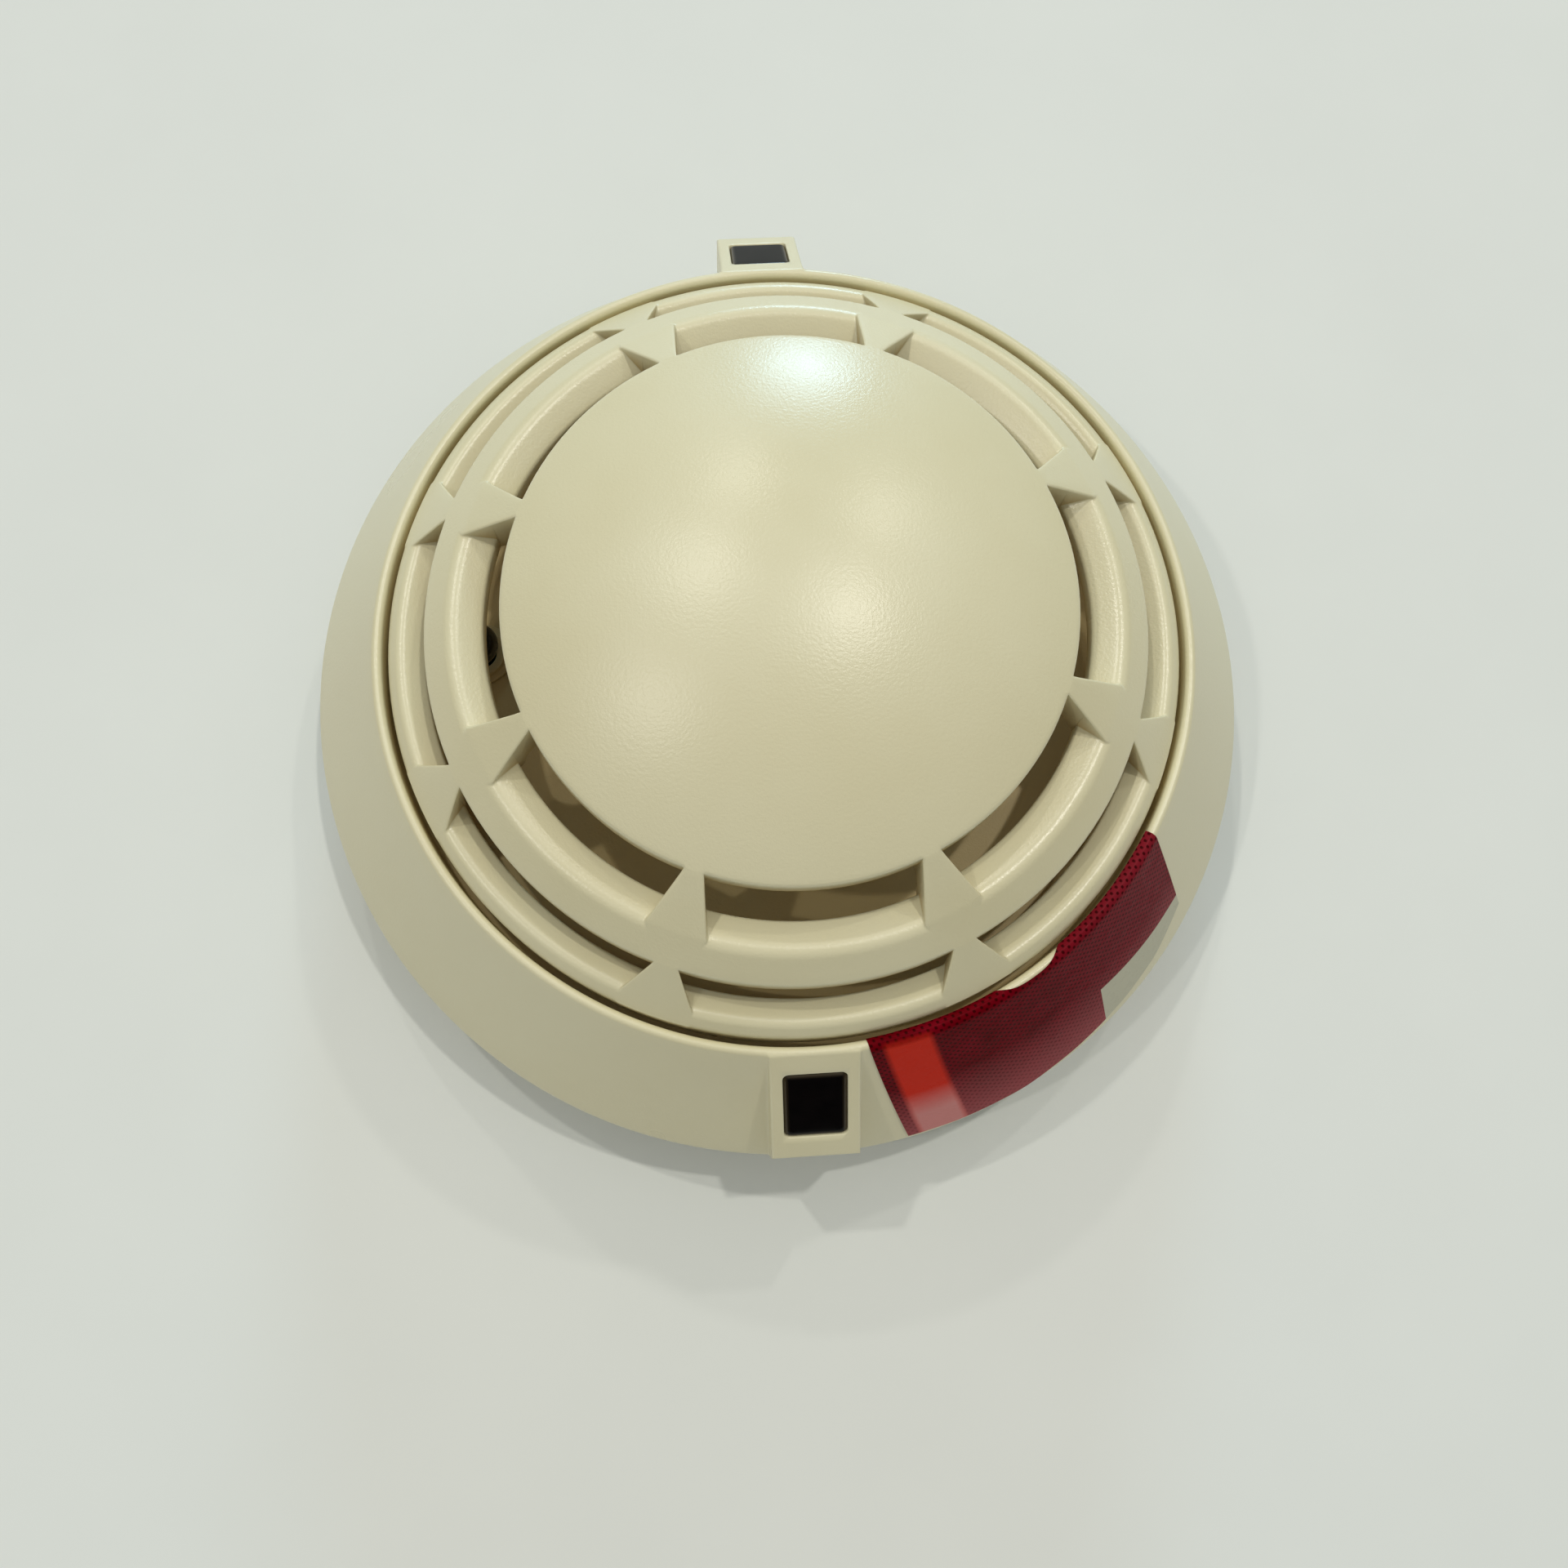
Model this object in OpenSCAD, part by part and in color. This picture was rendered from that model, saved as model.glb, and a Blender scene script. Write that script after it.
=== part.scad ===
// Point-type heat detector: a ceiling base, a twist-lock detector head and a slotted heat-inlet cover.
// The base's ceiling face is on z = 0 and +Z points into the room. The two indicator windows lie on Y.

/* [Head] */
// Radius of the skirt at its rim, the widest part of the head
skirt_r = 50; // [40:1:65]
// Height of the skirt's rim above the head's rear face
rim_rise = 3.8; // [3.4:0.1:8]
// Height of the skirt, from its rim to the top of its lip
skirt_h = 16.9; // [15:0.1:21]
// Horizontal run of the sloping skirt, from its rim to the lip's inner edge
skirt_run = 10; // [9.5:0.5:12]
// Wall thickness of the skirt
skirt_t = 1.9; // [1.4:0.1:2.4]
// Height of the upright land at the rim
rim_land = 0.8; // [0.4:0.1:1.2]
// Radius of the rounded lip around the cover
lip_round = 0.55; // [0.3:0.05:0.6]
// Thickness of the deck that closes the head under the cover
deck_t = 1.6; // [1.2:0.1:2]

/* [Inlet cover] */
// Gap around the cover, between its edge and the lip
cover_gap = 0.7; // [0.4:0.1:1]
// Depth of the cover's wall, from its edge down to the deck
cover_wall_h = 5.4; // [5.2:0.1:6.5]
// Thickness of the cover's wall
cover_wall_t = 1.4; // [1.2:0.1:1.8]
// Width of the outer ring's sloping band
ring2_band = 1.3; // [0.8:0.1:1.6]
// Width of the outer ring's inner ledge
ring2_ledge = 2.5; // [2:0.1:3]
// Width of the outer slot
slot2_w = 0.6; // [0.4:0.1:1.2]
// Width of the inner ring's sloping band
ring1_band = 2.9; // [2:0.1:3.5]
// Width of the inner ring's inner ledge
ring1_ledge = 3; // [2:0.1:3.5]
// Width of the inner slot
slot1_w = 2.2; // [1.4:0.1:3]
// Rise of the outer ring's band
ring2_rise = 1.4; // [1:0.1:2]
// Rise from the outer ring's band to the inner ring's outer edge
step_rise = 3.5; // [3:0.1:4.5]
// Rise of the inner ring's band
ring1_rise = 2.7; // [2:0.1:3.5]
// Rise from the inner ring's crest to the rim of the disc
disc_rise = 4; // [3:0.1:5]
// Drop of each inner ledge below its crest
ledge_drop = 1.3; // [0.8:0.1:1.6]
// Height of the disc's crown above its rim
disc_crown = 7; // [0.8:0.1:8]
// Thickness of the disc at its rim
disc_t = 1.8; // [1.4:0.1:2.4]
// Number of ribs that carry the rings and the disc
rib_count = 8; // [4:4:12]
// Half angle of a rib at its narrow, inner end, in degrees
rib_narrow = 2; // [1.5:0.1:2.5]
// Half angle of a rib at its wide, outer end, in degrees
rib_wide = 5.3; // [4:0.1:6]
// Extra turn of the ribs on the half that faces azimuth 0, which aren't quite evenly spaced, in degrees
rib_extra = 1.6; // [0:0.1:2]

/* [Indicator windows] */
// Width of the raised tab around each window
tab_w = 8.7; // [8:0.1:10]
// Height of the tab's upright end face
tab_end_h = 8; // [7:0.1:9]
// How far the tab stands out past the rim
tab_proud = 0.15; // [0.05:0.05:0.5]
// Width of a window
window_w = 6.2; // [5.6:0.1:6.8]
// Height of a window, down the slope of its tab
window_h = 7.9; // [7:0.1:8.5]
// Depth of a window below its tab's face
window_recess = 0.5; // [0.3:0.1:0.8]
// Thickness of a window's plate
window_t = 1.1; // [0.8:0.1:1.4]
// Width of the square light pipe behind a window
pipe_w = 5; // [4.6:0.1:5.4]
// Length of the light pipe
pipe_len = 1.2; // [0.8:0.1:1.6]

/* [Base] */
// Overhang of the skirt outside the base's wall
base_inset = 4; // [3.5:0.5:6]
// Thickness of the base's plate
base_t = 2; // [1.6:0.1:3]
// Thickness of the base's wall
base_wall_t = 1.8; // [1.4:0.1:2.4]
// Radius of the central cable entry
cable_r = 9; // [6:0.5:11]
// Width of the fixing slots
fix_w = 4.4; // [3.6:0.1:5.4]
// Length of the fixing slots, end to end
fix_len = 12; // [8:0.5:14]
// Distance from the wall's inner face to the centre of a fixing slot
fix_inset = 14.2; // [11:0.1:16]
// Height of the wiring space between the base's plate and the head
wiring_h = 4.2; // [4.2:0.1:6]

/* [Bayonet] */
// Number of bayonet lugs
lug_count = 3; // [3:1:4]
// Azimuth of the first lug, in degrees
lug_az = 30; // [20:1:40]
// Half angle of a lug, in degrees
lug_half = 5; // [4:0.5:6]
// Thickness of a lug along Z
lug_t = 1.8; // [1.4:0.1:2.2]
// Thickness of the base's ledges along Z
ledge_t = 1.7; // [1.2:0.1:2.2]
// Inward reach of the base's ledges
ledge_w = 1.3; // [1:0.1:1.6]
// Angle that the head turns to unlock, in degrees
twist = 18; // [16:1:22]
// Clearance between the head and the base
bayonet_clear = 0.3; // [0.3:0.05:0.5]

/* [Contacts] */
// Distance from the circuit board's edge to the contact circle
contact_inset = 9.8; // [8:0.1:11]
// Thickness of a contact blade
blade_t = 0.8; // [0.6:0.1:1]
// Half angle of a contact blade, in degrees
blade_half = 5; // [4:0.5:6]
// Thickness of the contact clip's metal
clip_t = 0.6; // [0.4:0.1:0.8]
// Clearance between a blade and its clip
clip_clear = 0.35; // [0.3:0.05:0.5]
// Width of the contact clip's tongue and of its wire clamp
tongue_w = 7; // [6:0.1:8]
// Distance from the contact circle to the terminal screw
screw_reach = 6.2; // [5.8:0.1:7]

/* [Electronics] */
// Thickness of the rear cover's plate
rear_t = 1.8; // [1.4:0.1:2.4]
// Thickness of the rear cover's wall
rear_wall_t = 1.7; // [1.4:0.1:2.2]
// Height of the standoffs under the circuit board
standoff_h = 4; // [3:0.1:4.5]
// Thickness of the circuit board
board_t = 1.6; // [1:0.1:2]
// Clearance around the circuit board
board_clear = 1.1; // [0.6:0.1:1.5]
// Distance from the board's edge to the screw bosses
boss_inset = 6.8; // [6:0.1:8]
// Radius of the sensing thermistor's bead
bead_r = 2.2; // [1.4:0.1:2.4]
// Height of the bead's centre above the deck
bead_rise = 3.6; // [3:0.1:4.2]
// Distance from the inner slot's outer edge to the bead's centre
bead_offset = 2; // [1:0.1:2.5]
// Azimuth of the bead, in degrees
bead_az = 177; // [170:1:185]
// Thickness of the gasket between the housing and the rear cover
gasket_t = 0.8; // [0.6:0.1:1.2]

/* [Seal film] */
// Width of the seal film around the skirt
film_w = 34.4; // [25:0.1:40]
// Height of the seal film down the skirt
film_h = 15.4; // [10:0.1:16]
// Thickness of the seal film
film_t = 0.25; // [0.15:0.05:0.4]
// Azimuth of the seal film's middle, in degrees
film_az = -57; // [-60:1:-30]
// Tilt of the seal film in its own plane, in degrees
film_tilt = 3; // [0:0.5:5]

/* [Hidden] */
$fn = 96;
over = 1;
fit_clear = 0.05;

// Radii, from the rim inwards
lip_in = skirt_r - skirt_run;
cover_r = lip_in - cover_gap;
ring2_crest_r = cover_r - ring2_band;
ring2_in_r = ring2_crest_r - ring2_ledge;
ring1_out_r = ring2_in_r - slot2_w;
ring1_crest_r = ring1_out_r - ring1_band;
ring1_in_r = ring1_crest_r - ring1_ledge;
disc_r = ring1_in_r - slot1_w;
base_r = skirt_r - base_inset;
base_in = base_r - base_wall_t;
ledge_in = base_in - ledge_w;
rear_r = ledge_in - bayonet_clear;
rear_in = rear_r - rear_wall_t;
board_r = rear_in - board_clear;
contact_r = board_r - contact_inset;
boss_r = board_r - boss_inset;
fix_r = base_in - fix_inset;

// Heights, from the ceiling outwards
rear_z = base_t + wiring_h;
rear_top = rear_z + rear_t;
board_z = rear_top + standoff_h;
board_top = board_z + board_t;
gasket_z = board_top + 0.4;
rim_z = rear_z + rim_rise;
lip_z = rim_z + skirt_h;
deck_top = lip_z + 0.1 - cover_wall_h;
deck_z = deck_top - deck_t;
cover_z = deck_top + cover_wall_h;
ring2_crest_z = cover_z + ring2_rise;
ring1_out_z = ring2_crest_z + step_rise;
ring1_crest_z = ring1_out_z + ring1_rise;
disc_z = ring1_crest_z + disc_rise;

// The disc is a dome of one radius, and its underside has the same centre
dome_r = (disc_r * disc_r + disc_crown * disc_crown) / (2 * disc_crown);
dome_c = disc_z + disc_crown - dome_r;
rib_root = 1.6;
rib_slope = 1;
slot_back = 3;
function dome_z(radius, r) = dome_c + sqrt(radius * radius - r * r);

// The skirt's cone touches the lip's round and ends at the top of the rim's land
lip_c = [lip_in + lip_round, lip_z - lip_round];
cone_foot = [skirt_r, rim_z + rim_land];
foot_dist = norm(cone_foot - lip_c);
cone_rise = atan2(cone_foot.y - lip_c.y, cone_foot.x - lip_c.x) + acos(lip_round / foot_dist);
cone_head = lip_c + lip_round * [cos(cone_rise), sin(cone_rise)];
wall_run = skirt_t / cos(cone_rise);
function cone_r(z) = skirt_r - (z - cone_foot.y) * tan(cone_rise);
function inner_r(z) = cone_r(max(z, cone_foot.y)) - wall_run;

// The window tab's sloping face
tab_top = [lip_in + lip_round, lip_z];
tab_end = [skirt_r + tab_proud, rim_z + tab_end_h];
tab_slope = atan2(tab_top.y - tab_end.y, tab_end.x - tab_top.x);
window_at = (tab_top + tab_end) / 2;
window_az = [-90, 90];

// The light-emitting diode lies on the window's axis
led_r = 1.5;
led_flange_r = 1.9;
led_flange_t = 1;
led_len = 5;
led_gap = 0.3;
led_depth = window_recess + window_t + pipe_len + led_gap;
led_base = led_depth + led_len;
lead_r = 0.25;
lead_pitch = 1.27;
lead_len = (window_at.y - board_top) / cos(tab_slope) - led_base - lead_r * tan(tab_slope);
channel_len = led_base + 1;

// Contacts, windows, fixing slots and cover legs share eight directions, so bosses lie halfway between them
contact_az = [45, 135, 225, 315];
boss_az = [contact_az[0] + 22.5, contact_az[2] - 22.5, contact_az[3] + 22.5];

// Screws
boss_out = 3;
sleeve_out = 3.4;
case_screw_r = 1.4;
case_screw_len = 9;
case_head_r = 2.6;
case_head_t = 1.6;
case_head_drop = 0.4;
pass_clear = 0.3;
terminal_r = contact_r + screw_reach;
terminal_shank_r = 1.4;
terminal_head_r = 2.8;
terminal_head_t = 1.6;
terminal_reach = 1.4;
clamp_t = 0.8;

// Thicknesses under the cover's rings and of its ribs
ring2_skin = 1.6;
ring1_skin = 2.3;
rib_skin = 1.7;

// Cover legs
leg_az = [45, 135, 225, 315];
leg_w = 5;
leg_in = cover_r - cover_wall_t - 1.5;
leg_out = cover_r - cover_wall_t + 0.3;
leg_drop = 3.6;
leg_clear = 0.3;

// Sensor
bead_at = [ring1_in_r + bead_offset, deck_top + bead_rise];
sleeve_r = 2.6;
sleeve_rise = 1;
sleeve_len = deck_t + sleeve_rise;
sleeve_wall = 0.9;

rib_az = 180 / rib_count;
lug_z = rear_z + 1;
lug_r = base_in - bayonet_clear;
ledge_z = lug_z + lug_t + bayonet_clear;
base_h = ledge_z + ledge_t;

film_up = 0.5;
film_mid = (cone_foot + cone_head) / 2 + film_up * [-sin(cone_rise), cos(cone_rise)];

// A ring sector about Z, from azimuth a for sweep degrees
module sector(r_in, r_out, z, h, a, sweep) {
  rotate([0, 0, a])
    rotate_extrude(angle = sweep)
      translate([r_in, z]) square([r_out - r_in, h]);
}

module tube(r_out, r_in, z, h) {
  translate([0, 0, z])
    difference() {
      cylinder(r = r_out, h = h);
      translate([0, 0, -over]) cylinder(r = r_in, h = h + 2 * over);
    }
}

module plain_disc(r, z, h) {
  translate([0, 0, z]) cylinder(r = r, h = h);
}

// Places children at azimuth a and radius r
module at(a, r, z = 0) {
  rotate([0, 0, a]) translate([r, 0, z]) children();
}

// Places children on a window's centre, with +Z along the tab's outward normal and +X down its slope
module on_window(a) {
  rotate([0, 0, a]) translate([window_at.x, 0, window_at.y]) rotate([0, tab_slope, 0]) children();
}

module centred_box(size, z) {
  translate([-size.x / 2, -size.y / 2, z]) cube(size);
}

// ---- Base ----

module fixing_slot() {
  reach = (fix_len - fix_w) / 2;
  translate([0, 0, -over]) linear_extrude(base_t + 2 * over) {
    translate([-reach, -fix_w / 2]) square([2 * reach, fix_w]);
    for (side = [-1, 1]) translate([side * reach, 0]) circle(d = fix_w);
  }
}

// Ledges that hold the lugs, each with a stop at the locked end and one where the head is free
module bayonet_ledges() {
  root_r = base_in + base_wall_t / 2;
  root_z = base_t / 2;
  stop_sweep = 2.6;
  for (k = [0 : lug_count - 1]) {
    a = lug_az + k * 360 / lug_count;
    sector(ledge_in, root_r, ledge_z, base_h - ledge_z, a - lug_half - 4, 2 * lug_half + 8);
    sector(ledge_in + 0.1, root_r - 0.1, root_z, ledge_z + 0.5 - root_z, a - lug_half - 1 - stop_sweep, stop_sweep);
    sector(ledge_in, root_r, root_z, base_h - 0.3 - root_z, a + twist + lug_half + 1, stop_sweep);
  }
}

module mounting_base() {
  color([0.86, 0.85, 0.78]) difference() {
    union() {
      plain_disc(base_r, 0, base_t);
      tube(base_r, base_in, 0, base_h);
      bayonet_ledges();
      tube(cable_r + 1.4, cable_r, 0, base_t + 1.6);
    }
    plain_disc(cable_r, -over, base_t + 2 * over);
    for (a = [0, 180]) at(a, fix_r) fixing_slot();
    for (a = contact_az) at(a, terminal_r, base_t - terminal_reach - 0.2)
      cylinder(r = terminal_shank_r + fit_clear, h = terminal_reach + 0.2 + over);
  }
}

module base_contact(a) {
  leaf_in = contact_r - blade_t / 2 - clip_clear - clip_t;
  leaf_out = contact_r + blade_t / 2 + clip_clear;
  leaf_h = wiring_h - 0.6;
  swing = 2 * blade_half + 2;
  color([0.78, 0.68, 0.42]) difference() {
    union() {
      sector(leaf_in, leaf_in + clip_t, base_t, leaf_h, a - swing / 2, swing);
      sector(leaf_out, leaf_out + clip_t, base_t, leaf_h, a - swing / 2, swing);
      sector(leaf_in, leaf_out + clip_t, base_t, clip_t, a - swing / 2, swing);
      rotate([0, 0, a]) translate([leaf_out, -tongue_w / 2, base_t])
        cube([terminal_r + tongue_w / 2 - leaf_out, tongue_w, clip_t]);
    }
    at(a, terminal_r, base_t - over) cylinder(r = terminal_shank_r + fit_clear, h = clip_t + 2 * over);
  }
}

module terminal_clamps() {
  color([0.75, 0.76, 0.78]) for (a = contact_az) at(a, terminal_r, base_t + clip_t) difference() {
    translate([1 - tongue_w / 2, -tongue_w / 2, 0]) cube([tongue_w - 1, tongue_w, clamp_t]);
    translate([0, 0, -over]) cylinder(r = terminal_shank_r + fit_clear, h = clamp_t + 2 * over);
  }
}

module terminal_screws() {
  z = base_t + clip_t + clamp_t;
  color([0.72, 0.72, 0.7]) for (a = contact_az) at(a, terminal_r) difference() {
    union() {
      translate([0, 0, base_t - terminal_reach]) cylinder(r = terminal_shank_r, h = z - base_t + terminal_reach);
      plain_disc(terminal_head_r, z, terminal_head_t);
    }
    translate([-terminal_head_r - over, -0.4, z + terminal_head_t - 0.7])
      cube([2 * terminal_head_r + 2 * over, 0.8, over]);
    translate([-0.4, -terminal_head_r - over, z + terminal_head_t - 0.7])
      cube([0.8, 2 * terminal_head_r + 2 * over, over]);
  }
}

// ---- Head ----

// Half section of the skirt and its deck
module housing_section() {
  lip_arc = [for (i = [0 : 12]) let(b = 180 - i * (180 - cone_rise) / 12)
    lip_c + lip_round * [cos(b), sin(b)]];
  polygon(concat(
    [[0, deck_z], [inner_r(deck_z), deck_z], [inner_r(cone_foot.y), cone_foot.y], [inner_r(rim_z), rim_z]],
    [[skirt_r, rim_z], cone_foot],
    [for (i = [12 : -1 : 0]) lip_arc[i]],
    [[lip_in, deck_top], [0, deck_top]]
  ));
}

// One window's raised tab, a solid wedge on the skirt
module window_tab(a) {
  rotate([0, 0, a]) rotate([90, 0, 0]) translate([0, 0, -tab_w / 2]) linear_extrude(tab_w)
    polygon([
      tab_top, tab_end, [tab_end.x, rim_z], [inner_r(rim_z) + 0.6, rim_z],
      [inner_r(deck_z) + 0.6, deck_z], [tab_top.x, deck_z]
    ]);
}

module window_cut(a) {
  on_window(a) {
    centred_box([window_h, window_w, window_recess + window_t + over], -window_recess - window_t);
    centred_box([pipe_w, pipe_w, channel_len], -channel_len);
  }
}

module outer_housing() {
  barrel_z = gasket_z + gasket_t;
  color([0.87, 0.85, 0.76]) difference() {
    union() {
      rotate_extrude() housing_section();
      for (a = window_az) window_tab(a);
      tube(rear_r - 0.2, rear_in + 0.2, barrel_z, deck_z - barrel_z + deck_t / 2);
      for (a = boss_az) at(a, boss_r, board_top) cylinder(r = boss_out, h = deck_z - board_top + deck_t / 2);
    }
    for (a = window_az) window_cut(a);
    for (a = boss_az) at(a, boss_r, board_top - over) cylinder(r = case_screw_r, h = case_screw_len - 1);
    at(bead_az, bead_at.x, deck_z - over) cylinder(r = sleeve_r, h = deck_t + 2 * over);
    for (a = leg_az) rotate([0, 0, a])
      translate([leg_in - leg_clear, -leg_w / 2 - leg_clear, deck_z - over])
        cube([leg_out - leg_in + 2 * leg_clear, leg_w + 2 * leg_clear, deck_t + 2 * over]);
  }
}

module rear_cover() {
  head_z = rear_z + case_head_drop + case_head_t;
  color([0.84, 0.82, 0.74]) difference() {
    union() {
      plain_disc(rear_r, rear_z, rear_t);
      tube(rear_r, rear_in, rear_z, gasket_z - rear_z);
      for (a = boss_az) at(a, boss_r, rear_z) cylinder(r = sleeve_out, h = board_z - rear_z);
      for (k = [0 : lug_count - 1])
        sector(rear_r - rear_wall_t / 2, lug_r, lug_z, lug_t, lug_az + k * 360 / lug_count - lug_half, 2 * lug_half);
    }
    for (a = boss_az) at(a, boss_r, rear_z - over) {
      cylinder(r = case_head_r + pass_clear, h = head_z - rear_z + over);
      cylinder(r = case_screw_r + pass_clear, h = board_z - rear_z + 2 * over);
    }
    for (a = contact_az)
      sector(contact_r - blade_t / 2 - fit_clear, contact_r + blade_t / 2 + fit_clear, rear_z - over,
        rear_t + 2 * over, a - blade_half - 0.2, 2 * blade_half + 0.4);
  }
}

module sealing_gasket() {
  color([0.12, 0.12, 0.12]) tube(rear_r - 0.3, rear_in + 0.3, gasket_z, gasket_t);
}

module housing_screws() {
  head_z = rear_z + case_head_drop + case_head_t;
  color([0.7, 0.7, 0.68]) for (a = boss_az) at(a, boss_r) difference() {
    union() {
      plain_disc(case_head_r, head_z - case_head_t, case_head_t);
      plain_disc(case_screw_r, head_z, case_screw_len);
    }
    translate([-2, -0.35, head_z - case_head_t - over]) cube([4, 0.7, over + 0.8]);
    translate([-0.35, -2, head_z - case_head_t - over]) cube([0.7, 4, over + 0.8]);
  }
}

// ---- Electronics ----

module circuit_board() {
  color([0.1, 0.35, 0.2]) difference() {
    plain_disc(board_r, board_z, board_t);
    for (a = boss_az) at(a, boss_r, board_z - over) cylinder(r = case_screw_r + pass_clear, h = board_t + 2 * over);
  }
}

module controller_chip() {
  chip = 7;
  color([0.08, 0.08, 0.09]) translate([-8, 6, board_top]) {
    translate([-chip / 2, -chip / 2, 0.2]) cube([chip, chip, 1.2]);
    for (side = [-1, 1], i = [-3 : 3])
      translate([side * (chip / 2 + 0.4) - 0.5, i * 0.95 - 0.2, 0]) cube([1, 0.4, 0.5]);
  }
}

module capacitor() {
  color([0.2, 0.22, 0.35]) translate([12, 10, board_top]) {
    cylinder(r = 2.5, h = 4.9);
    translate([-2.7, -2.7, 0]) cube([5.4, 5.4, 0.5]);
  }
}

module bridge_rectifier() {
  color([0.1, 0.1, 0.1]) translate([14, -8, board_top]) {
    translate([-3.2, -2.3, 0.3]) cube([6.4, 4.6, 2.2]);
    for (x = [-2.5, 1.7], y = [-3.1, 1.9]) translate([x, y, 0]) cube([0.8, 1.2, 0.5]);
  }
}

module resistors() {
  color([0.15, 0.15, 0.16]) for (i = [0 : 2], j = [0 : 1])
    translate([-22 + i * 4, -12 + j * 5, board_top]) cube([2, 1.25, 0.55]);
}

module reed_switch() {
  tube_r = 1.1;
  tube_len = 13;
  color([0.6, 0.75, 0.7]) translate([0, -18, board_top + tube_r]) {
    rotate([0, 90, 0]) translate([0, 0, -tube_len / 2]) cylinder(r = tube_r, h = tube_len);
    for (side = [-1, 1]) {
      translate([side * (tube_len / 2 + 1) - 1.2, -0.3, -0.3]) cube([2.4, 0.6, 0.6]);
      translate([side * (tube_len / 2 + 1.9) - 0.3, -0.3, -tube_r]) cube([0.6, 0.6, tube_r + 0.3]);
    }
  }
}

// Sealed thermistor inside the head, the slow reference for rate of rise
module reference_thermistor() {
  bead = 1.1;
  color([0.1, 0.1, 0.12]) translate([-14, 18, board_top]) {
    translate([0, 0, 3]) sphere(r = bead);
    for (side = [-1, 1]) translate([side * 0.5, 0, 0]) cylinder(r = lead_r, h = 3);
  }
}

// Exposed thermistor under the inner ring, in the air that passes through the slots
module sensing_thermistor() {
  color([0.05, 0.05, 0.05]) at(bead_az, bead_at.x) {
    translate([0, 0, bead_at.y]) sphere(r = bead_r);
    for (side = [-1, 1])
      translate([0, side * lead_pitch / 2, board_top]) cylinder(r = lead_r, h = bead_at.y - board_top);
  }
}

module thermistor_sleeve() {
  color([0.87, 0.85, 0.76]) at(bead_az, bead_at.x) difference() {
    union() {
      plain_disc(sleeve_r - fit_clear, deck_z, sleeve_len);
      plain_disc(sleeve_r + 0.6, deck_top, sleeve_rise / 2);
    }
    plain_disc(sleeve_r - sleeve_wall, deck_z - over, sleeve_len + 2 * over);
  }
}

module led(a) {
  color([0.75, 0.12, 0.1]) on_window(a) {
    translate([0, 0, -led_base]) cylinder(r = led_r, h = led_len - led_r);
    translate([0, 0, -led_depth - led_r]) sphere(r = led_r);
    translate([0, 0, -led_base]) cylinder(r = led_flange_r, h = led_flange_t);
    for (side = [-1, 1])
      translate([0, side * lead_pitch, -led_base - lead_len]) cylinder(r = lead_r, h = lead_len + 0.2);
  }
}

module window(a) {
  gap = 2 * fit_clear;
  color([0.06, 0.05, 0.05]) on_window(a) {
    centred_box([window_h - gap, window_w - gap, window_t], -window_recess - window_t);
    centred_box([pipe_w - gap, pipe_w - gap, pipe_len + 0.1], -window_recess - window_t - pipe_len);
  }
}

module contact_blade(a) {
  foot_half = blade_half;
  color([0.8, 0.7, 0.45]) {
    sector(contact_r - blade_t / 2, contact_r + blade_t / 2, base_t + clip_t + bayonet_clear,
      board_z - base_t - clip_t - bayonet_clear, a - blade_half, 2 * blade_half);
    sector(contact_r - 2, contact_r + 2, rear_top, clip_t, a - foot_half, 2 * foot_half);
  }
}

module seal_film() {
  shell_z = rim_z + rim_land + 0.6;
  color([0.5, 0.06, 0.1]) intersection() {
    rotate([0, 0, film_az - 40]) rotate_extrude(angle = 80) polygon([
      [cone_r(shell_z), shell_z], [cone_r(shell_z) + film_t / cos(cone_rise), shell_z],
      cone_head + [film_t / cos(cone_rise), 0], cone_head
    ]);
    rotate([0, 0, film_az]) translate([film_mid.x, 0, film_mid.y]) rotate([0, -cone_rise, 0])
      rotate([film_tilt, 0, 0]) translate([-12, -film_w / 2, -film_h / 2]) cube([24, film_w, film_h]);
  }
}

// ---- Inlet cover ----

// Section of the cover without its slots
module cover_section() {
  under_r = dome_r - disc_t;
  rib_z = ring1_crest_z - ledge_drop - 0.3;
  steps = 16;
  crown = [for (i = [0 : steps]) let(r = i * disc_r / steps) [r, dome_z(dome_r, r)]];
  hollow = [for (i = [steps : -1 : 0]) let(r = i * (disc_r - rib_root - rib_slope) / steps) [r, dome_z(under_r, r)]];
  polygon(concat(crown, [
    [ring1_crest_r, ring1_crest_z], [ring1_out_r, ring1_out_z],
    [ring2_crest_r, ring2_crest_z], [cover_r, cover_z], [cover_r, deck_top],
    [cover_r - cover_wall_t, deck_top], [cover_r - cover_wall_t, cover_z - ring2_skin],
    [ring1_out_r + slot2_w / 2, cover_z - ring2_skin], [ring1_out_r + slot2_w / 2, ring1_out_z - ring1_skin],
    [ring1_crest_r + 1, ring1_out_z - ring1_skin], [ring1_crest_r - 1.5, rib_z - rib_skin],
    [disc_r + slot1_w / 2, rib_z - rib_skin], [disc_r + slot1_w / 2, rib_z],
    [disc_r - rib_root, rib_z]
  ], hollow));
}

// A rib's outline in plan, widening from its inner to its outer crest
module rib_wedge(r_narrow, r_wide) {
  near = r_narrow * [cos(rib_narrow), sin(rib_narrow)];
  far = r_wide * [cos(rib_wide), sin(rib_wide)];
  tail = far + over * (far - near) / norm(far - near);
  root = near.x - 4;
  polygon([[root, -near.y], [near.x, -near.y], [tail.x, -tail.y], tail, near, [root, near.y]]);
}

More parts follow.
